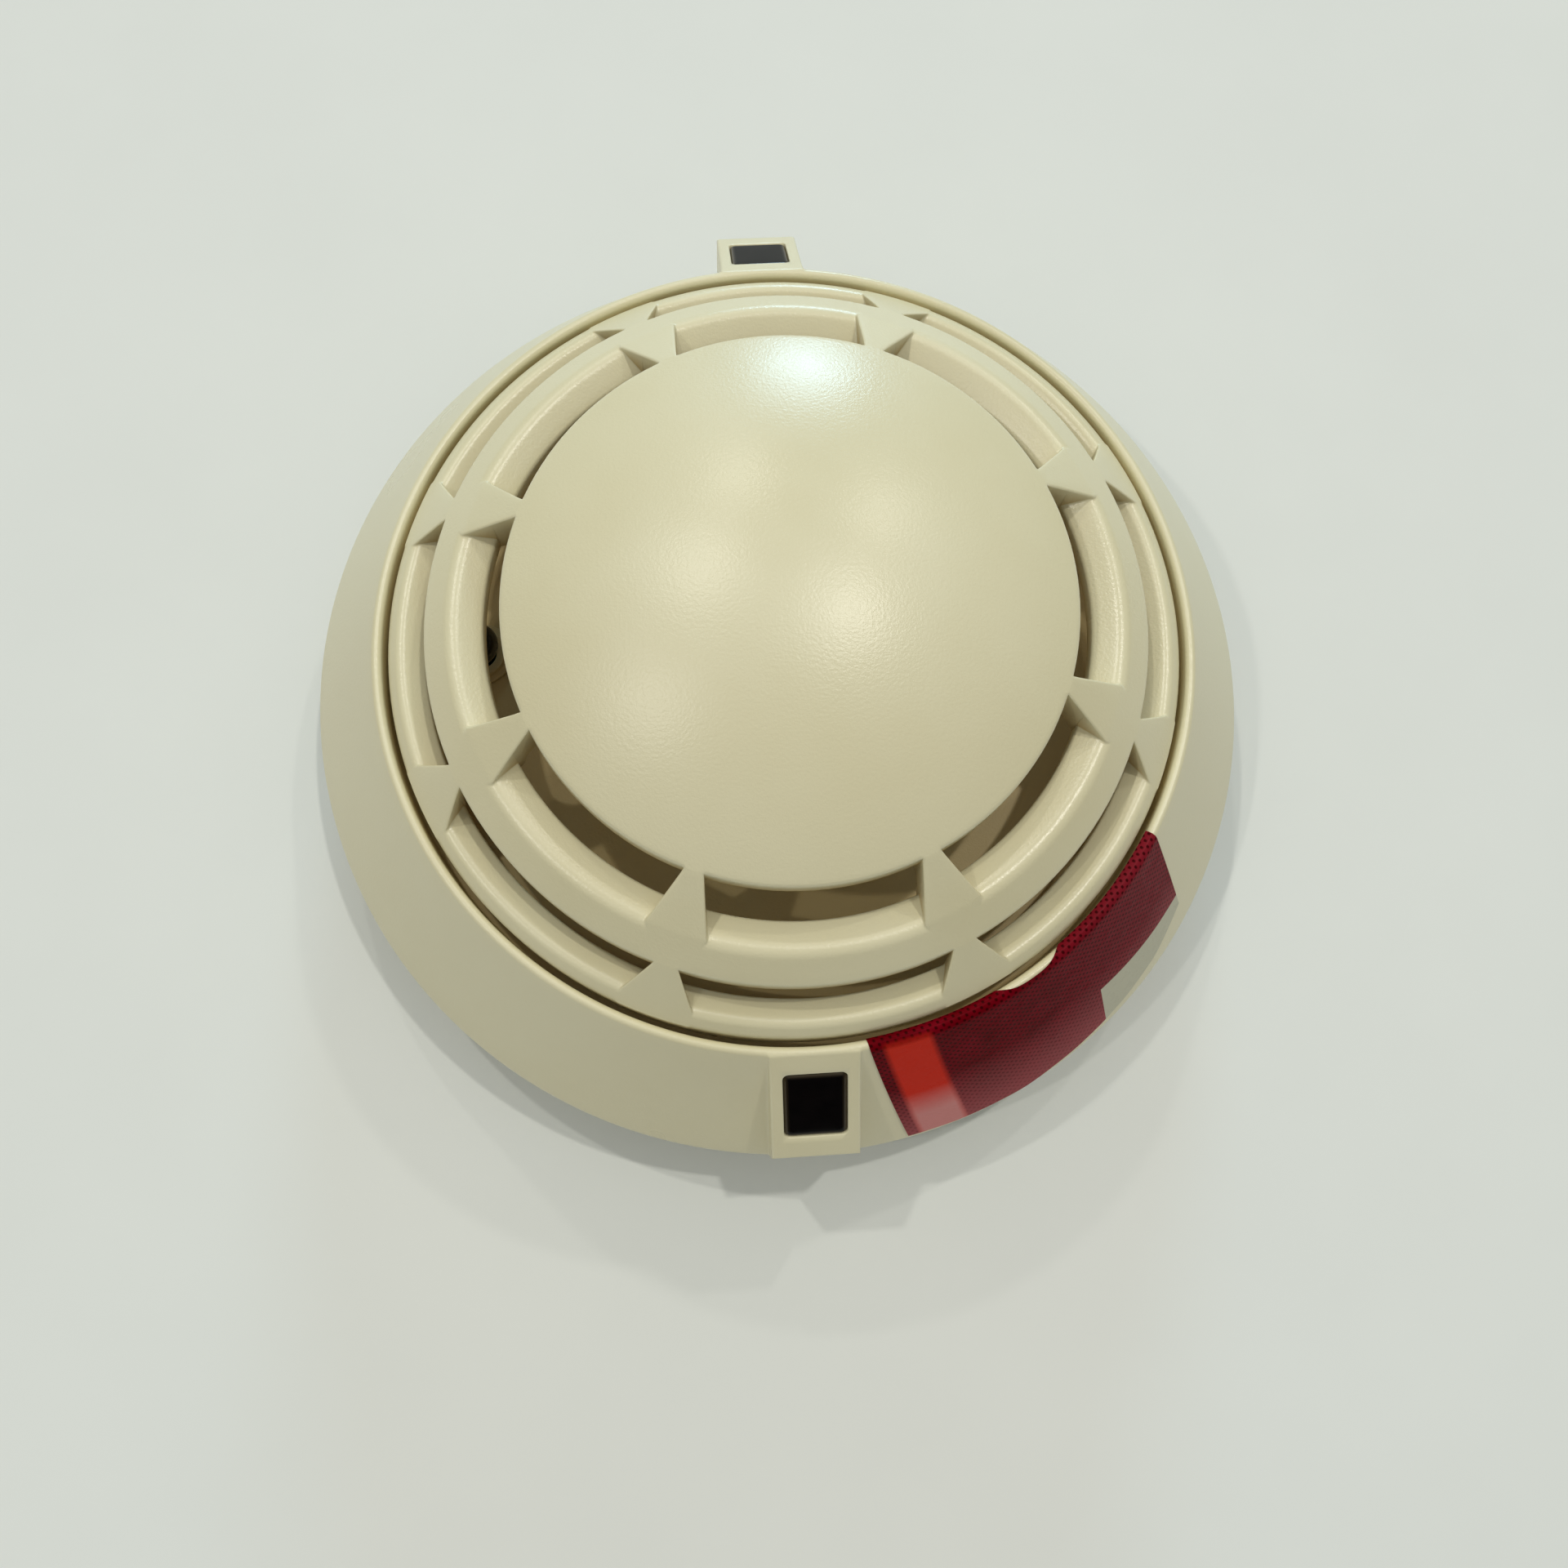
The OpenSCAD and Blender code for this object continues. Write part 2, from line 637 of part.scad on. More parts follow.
module ribs(r_narrow, r_wide) {
  for (k = [0 : rib_count - 1]) let(a = rib_az + k * 360 / rib_count)
    rotate([0, 0, a + (cos(a) > 0 ? rib_extra : 0)]) translate([0, 0, deck_top]) linear_extrude(disc_z - deck_top + 5 * over) rib_wedge(r_narrow, r_wide);
}

// The inner slot and ledge, left out where the ribs are
module inner_slot() {
  high = disc_z + over;
  low = ring1_crest_z - ledge_drop - 4;
  difference() {
    rotate_extrude() polygon([
      [disc_r, high], [disc_r, disc_z - disc_t - 0.1],
      [disc_r - slot_back, dome_z(dome_r - disc_t, disc_r - slot_back) - 0.1], [disc_r - slot_back, low],
      [ring1_in_r, low], [ring1_in_r, ring1_crest_z - ledge_drop],
      [ring1_crest_r, ring1_crest_z], [ring1_crest_r, high]
    ]);
    ribs(disc_r, ring1_crest_r);
  }
}

// The outer slot and ledge, left out where the ribs are
module outer_slot() {
  high = ring1_out_z + over;
  low = cover_z - 3;
  difference() {
    rotate_extrude() polygon([
      [ring1_out_r, high], [ring1_out_r, low], [ring2_in_r, low],
      [ring2_in_r, ring2_crest_z - ledge_drop], [ring2_crest_r, ring2_crest_z], [ring2_crest_r, high]
    ]);
    ribs(ring1_out_r, ring2_crest_r);
  }
}

module inlet_cover() {
  color([0.88, 0.86, 0.77]) union() {
    difference() {
      rotate_extrude() cover_section();
      inner_slot();
      outer_slot();
    }
    for (a = leg_az) rotate([0, 0, a]) translate([leg_in, -leg_w / 2, deck_top - leg_drop])
      cube([leg_out - leg_in, leg_w, leg_drop + cover_wall_h - 1]);
  }
}

mounting_base();
base_contact(contact_az[0]);  // base_contact_1
base_contact(contact_az[1]);  // base_contact_2
base_contact(contact_az[2]);  // base_contact_3
base_contact(contact_az[3]);  // base_contact_4
terminal_clamps();
terminal_screws();
outer_housing();
rear_cover();
sealing_gasket();
housing_screws();
circuit_board();
controller_chip();
capacitor();
bridge_rectifier();
resistors();
reed_switch();
reference_thermistor();
sensing_thermistor();
thermistor_sleeve();
led(window_az[0]);  // led_near
led(window_az[1]);  // led_far
window(window_az[0]);  // window_near
window(window_az[1]);  // window_far
contact_blade(contact_az[0]);  // contact_blade_1
contact_blade(contact_az[1]);  // contact_blade_2
contact_blade(contact_az[2]);  // contact_blade_3
contact_blade(contact_az[3]);  // contact_blade_4
seal_film();
inlet_cover();
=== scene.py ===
# %% [markdown]
# # A ceiling heat detector, modelled piece by piece
# The real object is a cream plastic disc, 100 mm across, that twists into a base on the ceiling. A
# pull-off cover with two ring-shaped slots lets warm air reach a small black sensor bead. The packed
# frame gives the exact place of every part, so nothing here is placed by eye: sizes are read from it and
# the looks are built on top.

# %% Load the frame
from math import acos, asin, atan2, cos, degrees, hypot, pi, radians, sin, sqrt, tan

import bmesh
import bpy
from mathutils import Matrix, Vector


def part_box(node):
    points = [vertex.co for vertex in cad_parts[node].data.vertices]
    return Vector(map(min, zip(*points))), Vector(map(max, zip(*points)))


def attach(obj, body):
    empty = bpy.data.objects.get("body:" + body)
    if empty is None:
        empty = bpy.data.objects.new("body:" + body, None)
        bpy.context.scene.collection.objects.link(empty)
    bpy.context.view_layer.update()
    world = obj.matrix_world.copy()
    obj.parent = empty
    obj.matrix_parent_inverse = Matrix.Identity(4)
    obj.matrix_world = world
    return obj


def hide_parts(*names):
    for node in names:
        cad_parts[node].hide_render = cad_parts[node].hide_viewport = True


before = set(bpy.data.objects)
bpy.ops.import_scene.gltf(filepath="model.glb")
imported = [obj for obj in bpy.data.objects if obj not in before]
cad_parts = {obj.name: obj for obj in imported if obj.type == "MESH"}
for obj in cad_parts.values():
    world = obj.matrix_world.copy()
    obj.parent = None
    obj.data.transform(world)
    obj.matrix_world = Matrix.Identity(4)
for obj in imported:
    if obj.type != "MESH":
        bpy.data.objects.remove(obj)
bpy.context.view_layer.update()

MM = 0.001

# %% [markdown]
# ## Sizes
# Every later cell works in millimetres, because moulded parts are drawn in them. The main radii and
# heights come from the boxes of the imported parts. Small steps between them are the same offsets that the
# part's own source uses: the cover's edge stands a little above the skirt's lip, with a thin gap between
# them, and rests on the deck by its wall.

# %% Main sizes in millimetres
def box_mm(node):
    low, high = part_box(node)
    return low / MM, high / MM


cover_high = box_mm("inlet_cover")[1]
shell_low, shell_high = box_mm("outer_housing")
rim_r, rim_z, lip_z = shell_high.x, shell_low.z, shell_high.z
cover_r, cover_top = cover_high.x, cover_high.z
COVER_GAP = 0.7
COVER_PROUD = 0.1
COVER_WALL_H = 5.4
DECK_T = 1.6
lip_in = cover_r + COVER_GAP
deck_top = lip_z + COVER_PROUD - COVER_WALL_H
deck_low = deck_top - DECK_T
print("rim radius", round(rim_r, 2), "lip height", round(lip_z, 2))
print("cover radius", round(cover_r, 2), "top", round(cover_top, 2))

# %% [markdown]
# ## Camera
# The detector is seen from close above its near window, with a short lens, so its rings shrink towards
# the floor. A camera is placed by its spherical position around the rim's centre, aimed at a point beside
# it and rolled a little.

# %% Camera
def sphere_point(azimuth, elevation, distance, centre=(0, 0, 0)):
    """A point seen from a centre at an azimuth and an elevation in degrees, and a distance in metres."""
    a, e = radians(azimuth), radians(elevation)
    return Vector(centre) + distance * Vector((cos(e) * cos(a), cos(e) * sin(a), sin(e)))


EYE_AZIMUTH, EYE_ELEVATION, EYE_DISTANCE = -100, 73.4705, 0.17099
AIM_X, AIM_Y = -0.00041254, -0.01089803
CAMERA_ROLL = 8.8307
camera = bpy.data.objects.new("camera", bpy.data.cameras.new("camera"))
bpy.context.collection.objects.link(camera)
bpy.context.scene.camera = camera
camera.data.lens = 35.625
camera.data.sensor_width = 36
camera.data.clip_start = 0.01
camera.data.clip_end = 10
eye = sphere_point(EYE_AZIMUTH, EYE_ELEVATION, EYE_DISTANCE, (0, 0, rim_z * MM))
aim = Vector((AIM_X, AIM_Y, rim_z * MM))
roll = Matrix.Rotation(radians(CAMERA_ROLL), 3, "Z")
turn = (aim - eye).to_track_quat("-Z", "Y").to_matrix() @ roll
camera.matrix_world = Matrix.Translation(eye) @ turn.to_4x4()
print("camera", [round(v, 4) for v in eye])

# %% [markdown]
# ## Floor and light
# The detector lies on a plain pale table under five small round ceiling lamps. Each one lays its own soft
# shadow beside the tabs and its own bright spot on the crowned disc, so their directions matter more than
# their strength. A cool, low window beyond the far tab lights everything that faces it. The pale surround
# is brightest overhead, like a ceiling above darker walls, so it fills the ledges and shadows but leaves
# the steep skirt and films deep.

# %% Floor
def new_object(name, mesh):
    thing = bpy.data.objects.new(name, mesh)
    bpy.context.collection.objects.link(thing)
    return thing


def mesh_from(name, bm):
    mesh = bpy.data.meshes.new(name)
    bm.to_mesh(mesh)
    bm.free()
    return mesh


bm = bmesh.new()
bmesh.ops.create_grid(bm, x_segments=8, y_segments=8, size=1.5)
floor = new_object("floor", mesh_from("floor", bm))
floor.location.z = -0.0002
print("floor", floor.dimensions[:])

# %% Lights
LAMP_DISTANCE, LAMP_SIZE, WINDOW_SIZE = 2.0, 0.07, 0.47
WARM, COOL = (1.0, 0.98, 0.90), (0.52, 0.80, 1.0)


def panel(name, azimuth, elevation, size, watts, colour):
    lamp = bpy.data.lights.new(name, "AREA")
    lamp.shape = "DISK"
    lamp.size = size
    lamp.energy = watts
    lamp.color = colour
    light = new_object(name, lamp)
    light.location = sphere_point(azimuth, elevation, LAMP_DISTANCE)
    light.rotation_mode = "QUATERNION"
    light.rotation_quaternion = (-light.location).to_track_quat("-Z", "Y")


ceiling_lamps = [
    ("lamp_a", 36, 72, 6.8),
    ("lamp_b", 126, 62, 4.8),
    ("lamp_c", 55, 49, 2.6),
    ("lamp_d", 99, 45, 2.3),
    ("lamp_e", 191, 60, 3.6),
]
for name, azimuth, elevation, watts in ceiling_lamps:
    panel(name, azimuth, elevation, LAMP_SIZE, watts, WARM)
panel("window_light", 82, 15, WINDOW_SIZE, 10.5, COOL)

# %% Surround
def set_ramp(ramp, low, low_colour, high, high_colour):
    first, last = ramp.color_ramp.elements
    first.position = low
    last.position = high
    first.color = (*low_colour, 1)
    last.color = (*high_colour, 1)


world = bpy.data.worlds.new("studio")
bpy.context.scene.world = world
world.use_nodes = True
sky = world.node_tree
towards = sky.nodes.new("ShaderNodeTexCoord")
parts_of = sky.nodes.new("ShaderNodeSeparateXYZ")
shade = sky.nodes.new("ShaderNodeValToRGB")
sky.links.new(towards.outputs["Generated"], parts_of.inputs["Vector"])
sky.links.new(parts_of.outputs["Z"], shade.inputs["Fac"])
set_ramp(shade, 0.1, (0.05, 0.05, 0.05), 1.0, (0.56, 0.57, 0.54))
sky.links.new(shade.outputs["Color"], sky.nodes["Background"].inputs["Color"])
sky.nodes["Background"].inputs["Strength"].default_value = 1.0
bpy.context.scene.view_settings.view_transform = "Standard"
print("surround:", world.name)

# %% [markdown]
# ## Finishes
# Moulded plastic is never one flat colour: the resin clouds slightly, and the steel of the mould leaves a
# fine spark-eroded grain that breaks highlights into specks. Both are noise textures in object space, so
# they need no unwrapping and they stay put when a part moves. The grain goes into a Bump node, with its
# depth in metres. In the chamber's recesses and undersides a vertex attribute mixes in a browner,
# less glossy second tone: painted shade.

# %% Node helpers
def add_node(tree, kind, inputs=None, **settings):
    made = tree.nodes.new(kind)
    for key, value in settings.items():
        setattr(made, key, value)
    for key, value in (inputs or {}).items():
        if isinstance(value, bpy.types.NodeSocket):
            tree.links.new(value, made.inputs[key])
        else:
            made.inputs[key].default_value = value
    return made


def blank_material(name):
    material = bpy.data.materials.new(name)
    material.use_nodes = True
    tree = material.node_tree
    return material, tree, tree.nodes["Principled BSDF"]


def noise(tree, place, scale, detail=2.0, roughness=0.5):
    values = {"Vector": place, "Scale": scale, "Detail": detail, "Roughness": roughness}
    return add_node(tree, "ShaderNodeTexNoise", values).outputs["Fac"]


def blend_colours(tree, factor, dark, light):
    ramp = add_node(tree, "ShaderNodeValToRGB", {"Fac": factor})
    set_ramp(ramp, 0.35, dark, 0.65, light)
    return ramp.outputs["Color"]


def mixed(tree, factor, first, second):
    values = {"Fac": factor, "Color1": first, "Color2": second}
    return add_node(tree, "ShaderNodeMixRGB", values).outputs["Color"]


def map_range(tree, factor, start, end, low=0.0, high=1.0):
    values = {"Value": factor, "From Min": start, "From Max": end, "To Min": low, "To Max": high}
    return add_node(tree, "ShaderNodeMapRange", values).outputs["Result"]


def spread(tree, factor, low, high):
    """Stretch the middle of a noise, where most of its values lie, over a range."""
    return map_range(tree, factor, 0.3, 0.7, low, high)


def add_bump(tree, shader, height, strength, distance):
    bump = add_node(tree, "ShaderNodeBump", {"Height": height, "Strength": strength, "Distance": distance})
    tree.links.new(bump.outputs["Normal"], shader.inputs["Normal"])


print("node helpers ready")


# %% Moulded plastic
GRAIN_SIZE, CLOUD_SIZE = 0.0003, 0.02


def moulded_plastic(name, light, dark, painted_shade, rough, depth, gloss):
    material, tree, shader = blank_material(name)
    place = add_node(tree, "ShaderNodeTexCoord").outputs["Object"]
    clouds = noise(tree, place, 1 / CLOUD_SIZE, 3)
    grain = noise(tree, place, 1 / GRAIN_SIZE, 2, 0.6)
    # Painted shade: a vertex attribute marks recesses and undersides, where a browner tone is mixed in and the
    # gloss is lowered.
    inside = add_node(tree, "ShaderNodeAttribute", attribute_name="painted_shade").outputs["Fac"]
    colour = mixed(tree, inside, blend_colours(tree, clouds, dark, light), (*painted_shade, 1))
    tree.links.new(colour, shader.inputs["Base Color"])
    tree.links.new(spread(tree, clouds, rough - 0.05, rough + 0.05), shader.inputs["Roughness"])
    add_bump(tree, shader, grain, 1.0, depth)
    shaded_gloss = map_range(tree, inside, 0.0, 1.0, gloss, 0.1 * gloss)
    tree.links.new(shaded_gloss, shader.inputs["Specular IOR Level"])
    return material


cream = moulded_plastic(
    "cream_plastic", light=(0.765, 0.71, 0.485), dark=(0.735, 0.675, 0.445), painted_shade=(0.60, 0.47, 0.235),
    rough=0.31, depth=0.000025, gloss=0.75,
)
base_cream = moulded_plastic(
    "base_plastic", light=(0.72, 0.69, 0.56), dark=(0.68, 0.65, 0.51), painted_shade=(0.6, 0.55, 0.4),
    rough=0.5, depth=0.000012, gloss=0.5,
)
print("plastics:", cream.name, base_cream.name)

# %% [markdown]
# ## Metal, glass, board and rubber
# The other finishes follow the same pattern with other numbers: a base colour that varies, a roughness
# that varies and a bump of the right scale. Brushed steel stretches its noise along one axis; a circuit
# board mixes in a brick pattern for its copper tracks.

# %% Metals, rubber and electronics
def speckled(name, light, dark, rough, grain, metal=0.0, stretch=(1, 1, 1), coat=0.0):
    material, tree, shader = blank_material(name)
    coordinates = add_node(tree, "ShaderNodeTexCoord").outputs["Object"]
    place = add_node(tree, "ShaderNodeMapping", {"Vector": coordinates, "Scale": stretch}).outputs["Vector"]
    fine = noise(tree, place, 1 / grain, 3, 0.6)
    tree.links.new(blend_colours(tree, fine, dark, light), shader.inputs["Base Color"])
    tree.links.new(spread(tree, fine, max(rough - 0.08, 0.03), rough + 0.08), shader.inputs["Roughness"])
    add_bump(tree, shader, fine, 0.6, 0.00001)
    shader.inputs["Metallic"].default_value = metal
    shader.inputs["Coat Weight"].default_value = coat
    return material


simple_finishes = {
    "black_rubber": ((0.035, 0.035, 0.037), (0.02, 0.02, 0.022), 0.75, 0.0008, {}),
    "screw_steel": ((0.62, 0.61, 0.58), (0.5, 0.49, 0.46), 0.32, 0.0006, {"metal": 1, "stretch": (1, 1, 4)}),
    "contact_brass": ((0.78, 0.66, 0.38), (0.66, 0.53, 0.27), 0.3, 0.0007, {"metal": 1, "stretch": (1, 1, 5)}),
    "chip_black": ((0.03, 0.03, 0.032), (0.018, 0.018, 0.019), 0.55, 0.0002, {}),
    "capacitor_sleeve": ((0.05, 0.06, 0.16), (0.03, 0.035, 0.1), 0.3, 0.0008, {"coat": 0.3}),
    "reed_glass": ((0.35, 0.5, 0.42), (0.25, 0.4, 0.33), 0.1, 0.002, {"coat": 0.6}),
    "black_epoxy": ((0.006, 0.006, 0.007), (0.003, 0.003, 0.004), 0.22, 0.001, {"coat": 0.1}),
    "red_lens": ((0.55, 0.03, 0.02), (0.4, 0.02, 0.015), 0.15, 0.001, {"coat": 0.5}),
}
finishes = {"cream_plastic": cream, "base_plastic": base_cream}
for name, (light, dark, rough, grain, extras) in simple_finishes.items():
    finishes[name] = speckled(name, light, dark, rough, grain, **extras)
print("finishes:", sorted(finishes))

# %% Circuit board
def board_finish():
    material, tree, shader = blank_material("green_board")
    place = add_node(tree, "ShaderNodeTexCoord").outputs["Object"]
    tracks = add_node(tree, "ShaderNodeTexBrick", {
        "Vector": place, "Scale": 260.0, "Mortar Size": 0.03, "Mortar": (0.02, 0.24, 0.09, 1),
        "Color1": (0.01, 0.12, 0.045, 1), "Color2": (0.012, 0.15, 0.055, 1),
    })
    tree.links.new(tracks.outputs["Color"], shader.inputs["Base Color"])
    add_bump(tree, shader, tracks.outputs["Fac"], 0.6, 0.00003)
    tree.links.new(spread(tree, noise(tree, place, 900), 0.28, 0.4), shader.inputs["Roughness"])
    return material


finishes["green_board"] = board_finish()
print("board finish:", finishes["green_board"].name)

# %% Smoked window plastic
def smoked_finish():
    material, tree, shader = blank_material("smoked_window")
    place = add_node(tree, "ShaderNodeTexCoord").outputs["Object"]
    haze = noise(tree, place, 500, 3)
    rim = add_node(tree, "ShaderNodeAttribute", attribute_name="rim").outputs["Fac"]
    body = blend_colours(tree, haze, (0.0015, 0.001, 0.001), (0.003, 0.002, 0.002))
    tree.links.new(mixed(tree, rim, body, (0.07, 0.048, 0.02, 1)), shader.inputs["Base Color"])
    tree.links.new(spread(tree, haze, 0.05, 0.12), shader.inputs["Roughness"])
    shader.inputs["Specular IOR Level"].default_value = 0.0
    tree.links.new(map_range(tree, rim, 0.0, 1.0, 0.3, 1.0), shader.inputs["Coat Weight"])
    shader.inputs["Coat Roughness"].default_value = 0.12
    return material


finishes["smoked_window"] = smoked_finish()
print("window finish:", finishes["smoked_window"].name)

# %% [markdown]
# ## From a bmesh to a piece
# Each piece is built in a bmesh, in millimetres. One helper scales it to metres, shades it smooth except
# at real corners, gives it its finish and lets it ride on its body, so every later cell only has to make
# geometry.

# %% Piece helper
def add_piece(name, bm, finish, body, stands_for=(), corner=38):
    bmesh.ops.scale(bm, vec=(MM, MM, MM), verts=bm.verts)
    bm.normal_update()
    for face in bm.faces:
        face.smooth = True
    for edge in bm.edges:
        edge.smooth = len(edge.link_faces) != 2 or edge.calc_face_angle(0) < radians(corner)
    piece = new_object(name, mesh_from(name, bm))
    piece.data.materials.append(finishes[finish])
    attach(piece, body)
    if stands_for:
        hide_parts(*stands_for)
    print(name, "faces", len(piece.data.polygons), "size mm", [round(v / MM, 1) for v in piece.dimensions])


def clamp(x):
    return min(max(x, 0), 1)


def spot_at(r, a, z):
    return Vector((r * cos(a), r * sin(a), z))


def mark_painted_shade(bm, inside_r, unshaded_z, fully_shaded_z):
    """Mark painted shade on vertices inside a radius: 0 above the unshaded height, 1 below the fully shaded
    one.
    """
    painted_shade = bm.verts.layers.float.get("painted_shade") or bm.verts.layers.float.new("painted_shade")
    for v in bm.verts:
        if hypot(v.co.x, v.co.y) < inside_r:
            v[painted_shade] = max(v[painted_shade], clamp((unshaded_z - v.co.z) / (unshaded_z - fully_shaded_z)))


def add_box(bm, low, high, turn, soft):
    """A box with softened edges, turned about the axis."""
    middle = (Vector(low) + Vector(high)) / 2
    made = bmesh.ops.create_cube(bm, size=1.0)["verts"]
    bmesh.ops.scale(bm, vec=Vector(high) - Vector(low), verts=made)
    bmesh.ops.translate(bm, vec=middle, verts=made)
    edges = {e for v in made for e in v.link_edges}
    bevelled = bmesh.ops.bevel(bm, geom=list(edges), offset=soft, segments=2, profile=0.5, affect="EDGES")
    corners = {v for f in bevelled["faces"] for v in f.verts} | {v for v in made if v.is_valid}
    bmesh.ops.rotate(bm, cent=(0, 0, 0), matrix=Matrix.Rotation(turn, 3, "Z"), verts=list(corners))


print("piece helpers ready")

# %% [markdown]
# ## The inlet cover
# On the real detector the disc, both rings and the eight ribs are one moulding. The ribs on its right
# half sit a little further round than an even spacing would put them. Cutting slots with booleans would
# leave ragged edges, so the cover is laid out as a grid instead: rows follow the radius, columns follow
# the ribs' straight sides, and a cell that falls in a slot is simply left out. Extra rows and columns
# close to each edge carry its rounding. The underside and the feet of the slots' walls are marked for
# painted shade, a browner, duller tone where shade falls.

# %% The cover's section
DISC_R = cover_r - 12.5
RING1_IN = cover_r - 10.3
RING1_CREST = cover_r - 7.3
RING1_OUT = cover_r - 4.4
RING2_IN = cover_r - 3.8
RING2_CREST = cover_r - 1.3
LEDGE_DROP = 1.3
edge_z = deck_top + COVER_WALL_H
RING2_Z = edge_z + 1.4
RING1_OUT_Z = edge_z + 4.9
RING1_Z = RING1_OUT_Z + 2.7
DISC_Z = RING1_OUT_Z + 6.7
crown = cover_top - DISC_Z
crown_r = (DISC_R ** 2 + crown ** 2) / (2 * crown)
outline = [(DISC_R, DISC_Z), (RING1_CREST, RING1_Z), (RING1_OUT, RING1_OUT_Z), (RING2_CREST, RING2_Z)]
outline += [(cover_r, edge_z)]


def between(x, points):
    for (x0, y0), (x1, y1) in zip(points, points[1:]):
        if x <= x1:
            return y0 + (y1 - y0) * (x - x0) / (x1 - x0)
    return points[-1][1]


def envelope(r):
    if r <= DISC_R:
        return cover_top - crown_r + sqrt(crown_r ** 2 - r ** 2)
    return between(r, outline)


print("disc radius", round(DISC_R, 1), "crown radius", round(crown_r, 1))

# %% Rows from the middle to the edge
def crest_arc(r, z, rise, fall, radius, steps=9):
    reach = radius * tan((rise - fall) / 2)
    start = Vector((r - reach * cos(rise), z - reach * sin(rise)))
    turns = [rise + (fall - rise) * k / steps for k in range(steps + 1)]
    arc = [(radius * (sin(rise) - sin(t)), radius * (cos(t) - cos(rise))) for t in turns]
    return [(start.x + along, start.y + up) for along, up in arc]


def edge_rows(r, surface, radius, side):
    rows = []
    for k in range(5):
        a = k * pi / 8
        at = r + side * radius * (1 - sin(a))
        rows.append((at, surface(at) - radius * (1 - cos(a))))
    return sorted(rows)


def ledge1(r):
    return RING1_Z - LEDGE_DROP * (RING1_CREST - r) / (RING1_CREST - RING1_IN)


def ledge2(r):
    return RING2_Z - LEDGE_DROP * (RING2_CREST - r) / (RING2_CREST - RING2_IN)


def slope(r0, z0, r1, z1):
    return atan2(z1 - z0, r1 - r0)


rise1 = slope(RING1_IN, RING1_Z - LEDGE_DROP, RING1_CREST, RING1_Z)
fall1 = slope(RING1_CREST, RING1_Z, RING1_OUT, RING1_OUT_Z)
rise2 = slope(RING2_IN, RING2_Z - LEDGE_DROP, RING2_CREST, RING2_Z)
fall2 = slope(RING2_CREST, RING2_Z, cover_r, edge_z)
rows = [(r, envelope(r)) for r in [1.5 * k for k in range(17)] + [25.3, DISC_R - 0.6]]
rows += edge_rows(DISC_R, envelope, 0.28, -1)
rows += [(r, None) for r in (DISC_R + 0.6, DISC_R + 1.2, RING1_IN - 0.5)]
rows += edge_rows(RING1_IN, ledge1, 0.3, 1)
rows += [(r, ledge1(r)) for r in (RING1_IN + 0.9, RING1_IN + 1.6)]
rows += crest_arc(RING1_CREST, RING1_Z, rise1, fall1, 1.5)
rows += [(r, envelope(r)) for r in (RING1_CREST + 1.1, RING1_OUT - 0.9)]
rows += edge_rows(RING1_OUT, envelope, 0.25, -1)
rows += [(RING1_OUT + 0.3, None)]
rows += edge_rows(RING2_IN, ledge2, 0.25, 1)
rows += [(r, ledge2(r)) for r in (RING2_IN + 0.8, RING2_IN + 1.4)]
rows += crest_arc(RING2_CREST, RING2_Z, rise2, fall2, 1.05)
rows += [(cover_r - 0.6, envelope(cover_r - 0.6))]
rows += edge_rows(cover_r, envelope, 0.3, -1)
print("rows:", len(rows), "from", rows[0], "to", rows[-1])

# %% Columns beside the ribs
RIBS = 8
RIB_EXTRA = 1.6
RIB_ROUND = 0.3
NARROW, WIDE = radians(2), radians(5.3)
FOOT_SHAPE = {0.03: 1.0, 0.08: 0.45, 0.16: 0.1, 0.3: 0.0}


def rib_half(r):
    def side(r0, a0, r1, a1):
        near = Vector((r0 * cos(a0), r0 * sin(a0)))
        far = Vector((r1 * cos(a1), r1 * sin(a1)))
        spot = near.lerp(far, clamp((r - r0) / (r1 - r0)))
        return atan2(spot.y, spot.x)

    if r <= DISC_R:
        return NARROW
    if r <= RING1_CREST:
        return side(DISC_R, NARROW, RING1_CREST, WIDE)
    if r <= RING1_OUT:
        return WIDE + (NARROW - WIDE) * (r - RING1_CREST) / (RING1_OUT - RING1_CREST)
    if r <= RING2_CREST:
        return side(RING1_OUT, NARROW, RING2_CREST, WIDE)
    return WIDE


side_steps = [-RIB_ROUND * (1 - sin(k * pi / 8)) for k in range(5)] + list(FOOT_SHAPE)
columns = [("rib", 0.0, 1), ("rib", 0.5, 1)]
columns += [("side", d, 1) for d in side_steps]
columns += [("slot", k / 16, 1) for k in range(1, 16)]
columns += [("side", d, -1) for d in reversed(side_steps)] + [("rib", 0.5, -1)]
rib_angles = [(k + 0.5) * 360 / RIBS for k in range(RIBS)]
rib_angles = [radians(a + (RIB_EXTRA if cos(radians(a)) > 0 else 0)) for a in rib_angles]


def column_angle(column, sector, r):
    kind, value, hand = column
    start = rib_angles[sector]
    half = rib_half(r)
    reach = max(r, 20)
    span = (rib_angles[(sector + 1) % RIBS] - start) % (2 * pi)
    if kind == "rib":
        turn = value * (half - RIB_ROUND / reach)
    elif kind == "side":
        turn = half + value / reach
    else:
        low = half + side_steps[-1] / reach
        return start + low + value * (span - 2 * low)
    return start + turn if hand > 0 else start + span - turn


print("columns in one of eight sectors:", len(columns))

# %% Heights of the top and the underside
def top_height(r, z_slot, column):
    high = envelope(r)
    kind, d, hand = column
    low = high if z_slot is None else min(z_slot, high)
    rise = high - low if z_slot is not None else 9.0
    if kind == "rib":
        return high
    if kind == "slot":
        return low
    if d <= 0:
        radius = min(RIB_ROUND, rise / 2)
        across = 1 + d / RIB_ROUND
        return high - radius * (1 - sqrt(max(1 - across ** 2, 0)))
    return low + min(0.12, rise / 2) * FOOT_SHAPE[d]


def dome_under(r):
    return cover_top - crown_r + sqrt((crown_r - 1.8) ** 2 - r ** 2)


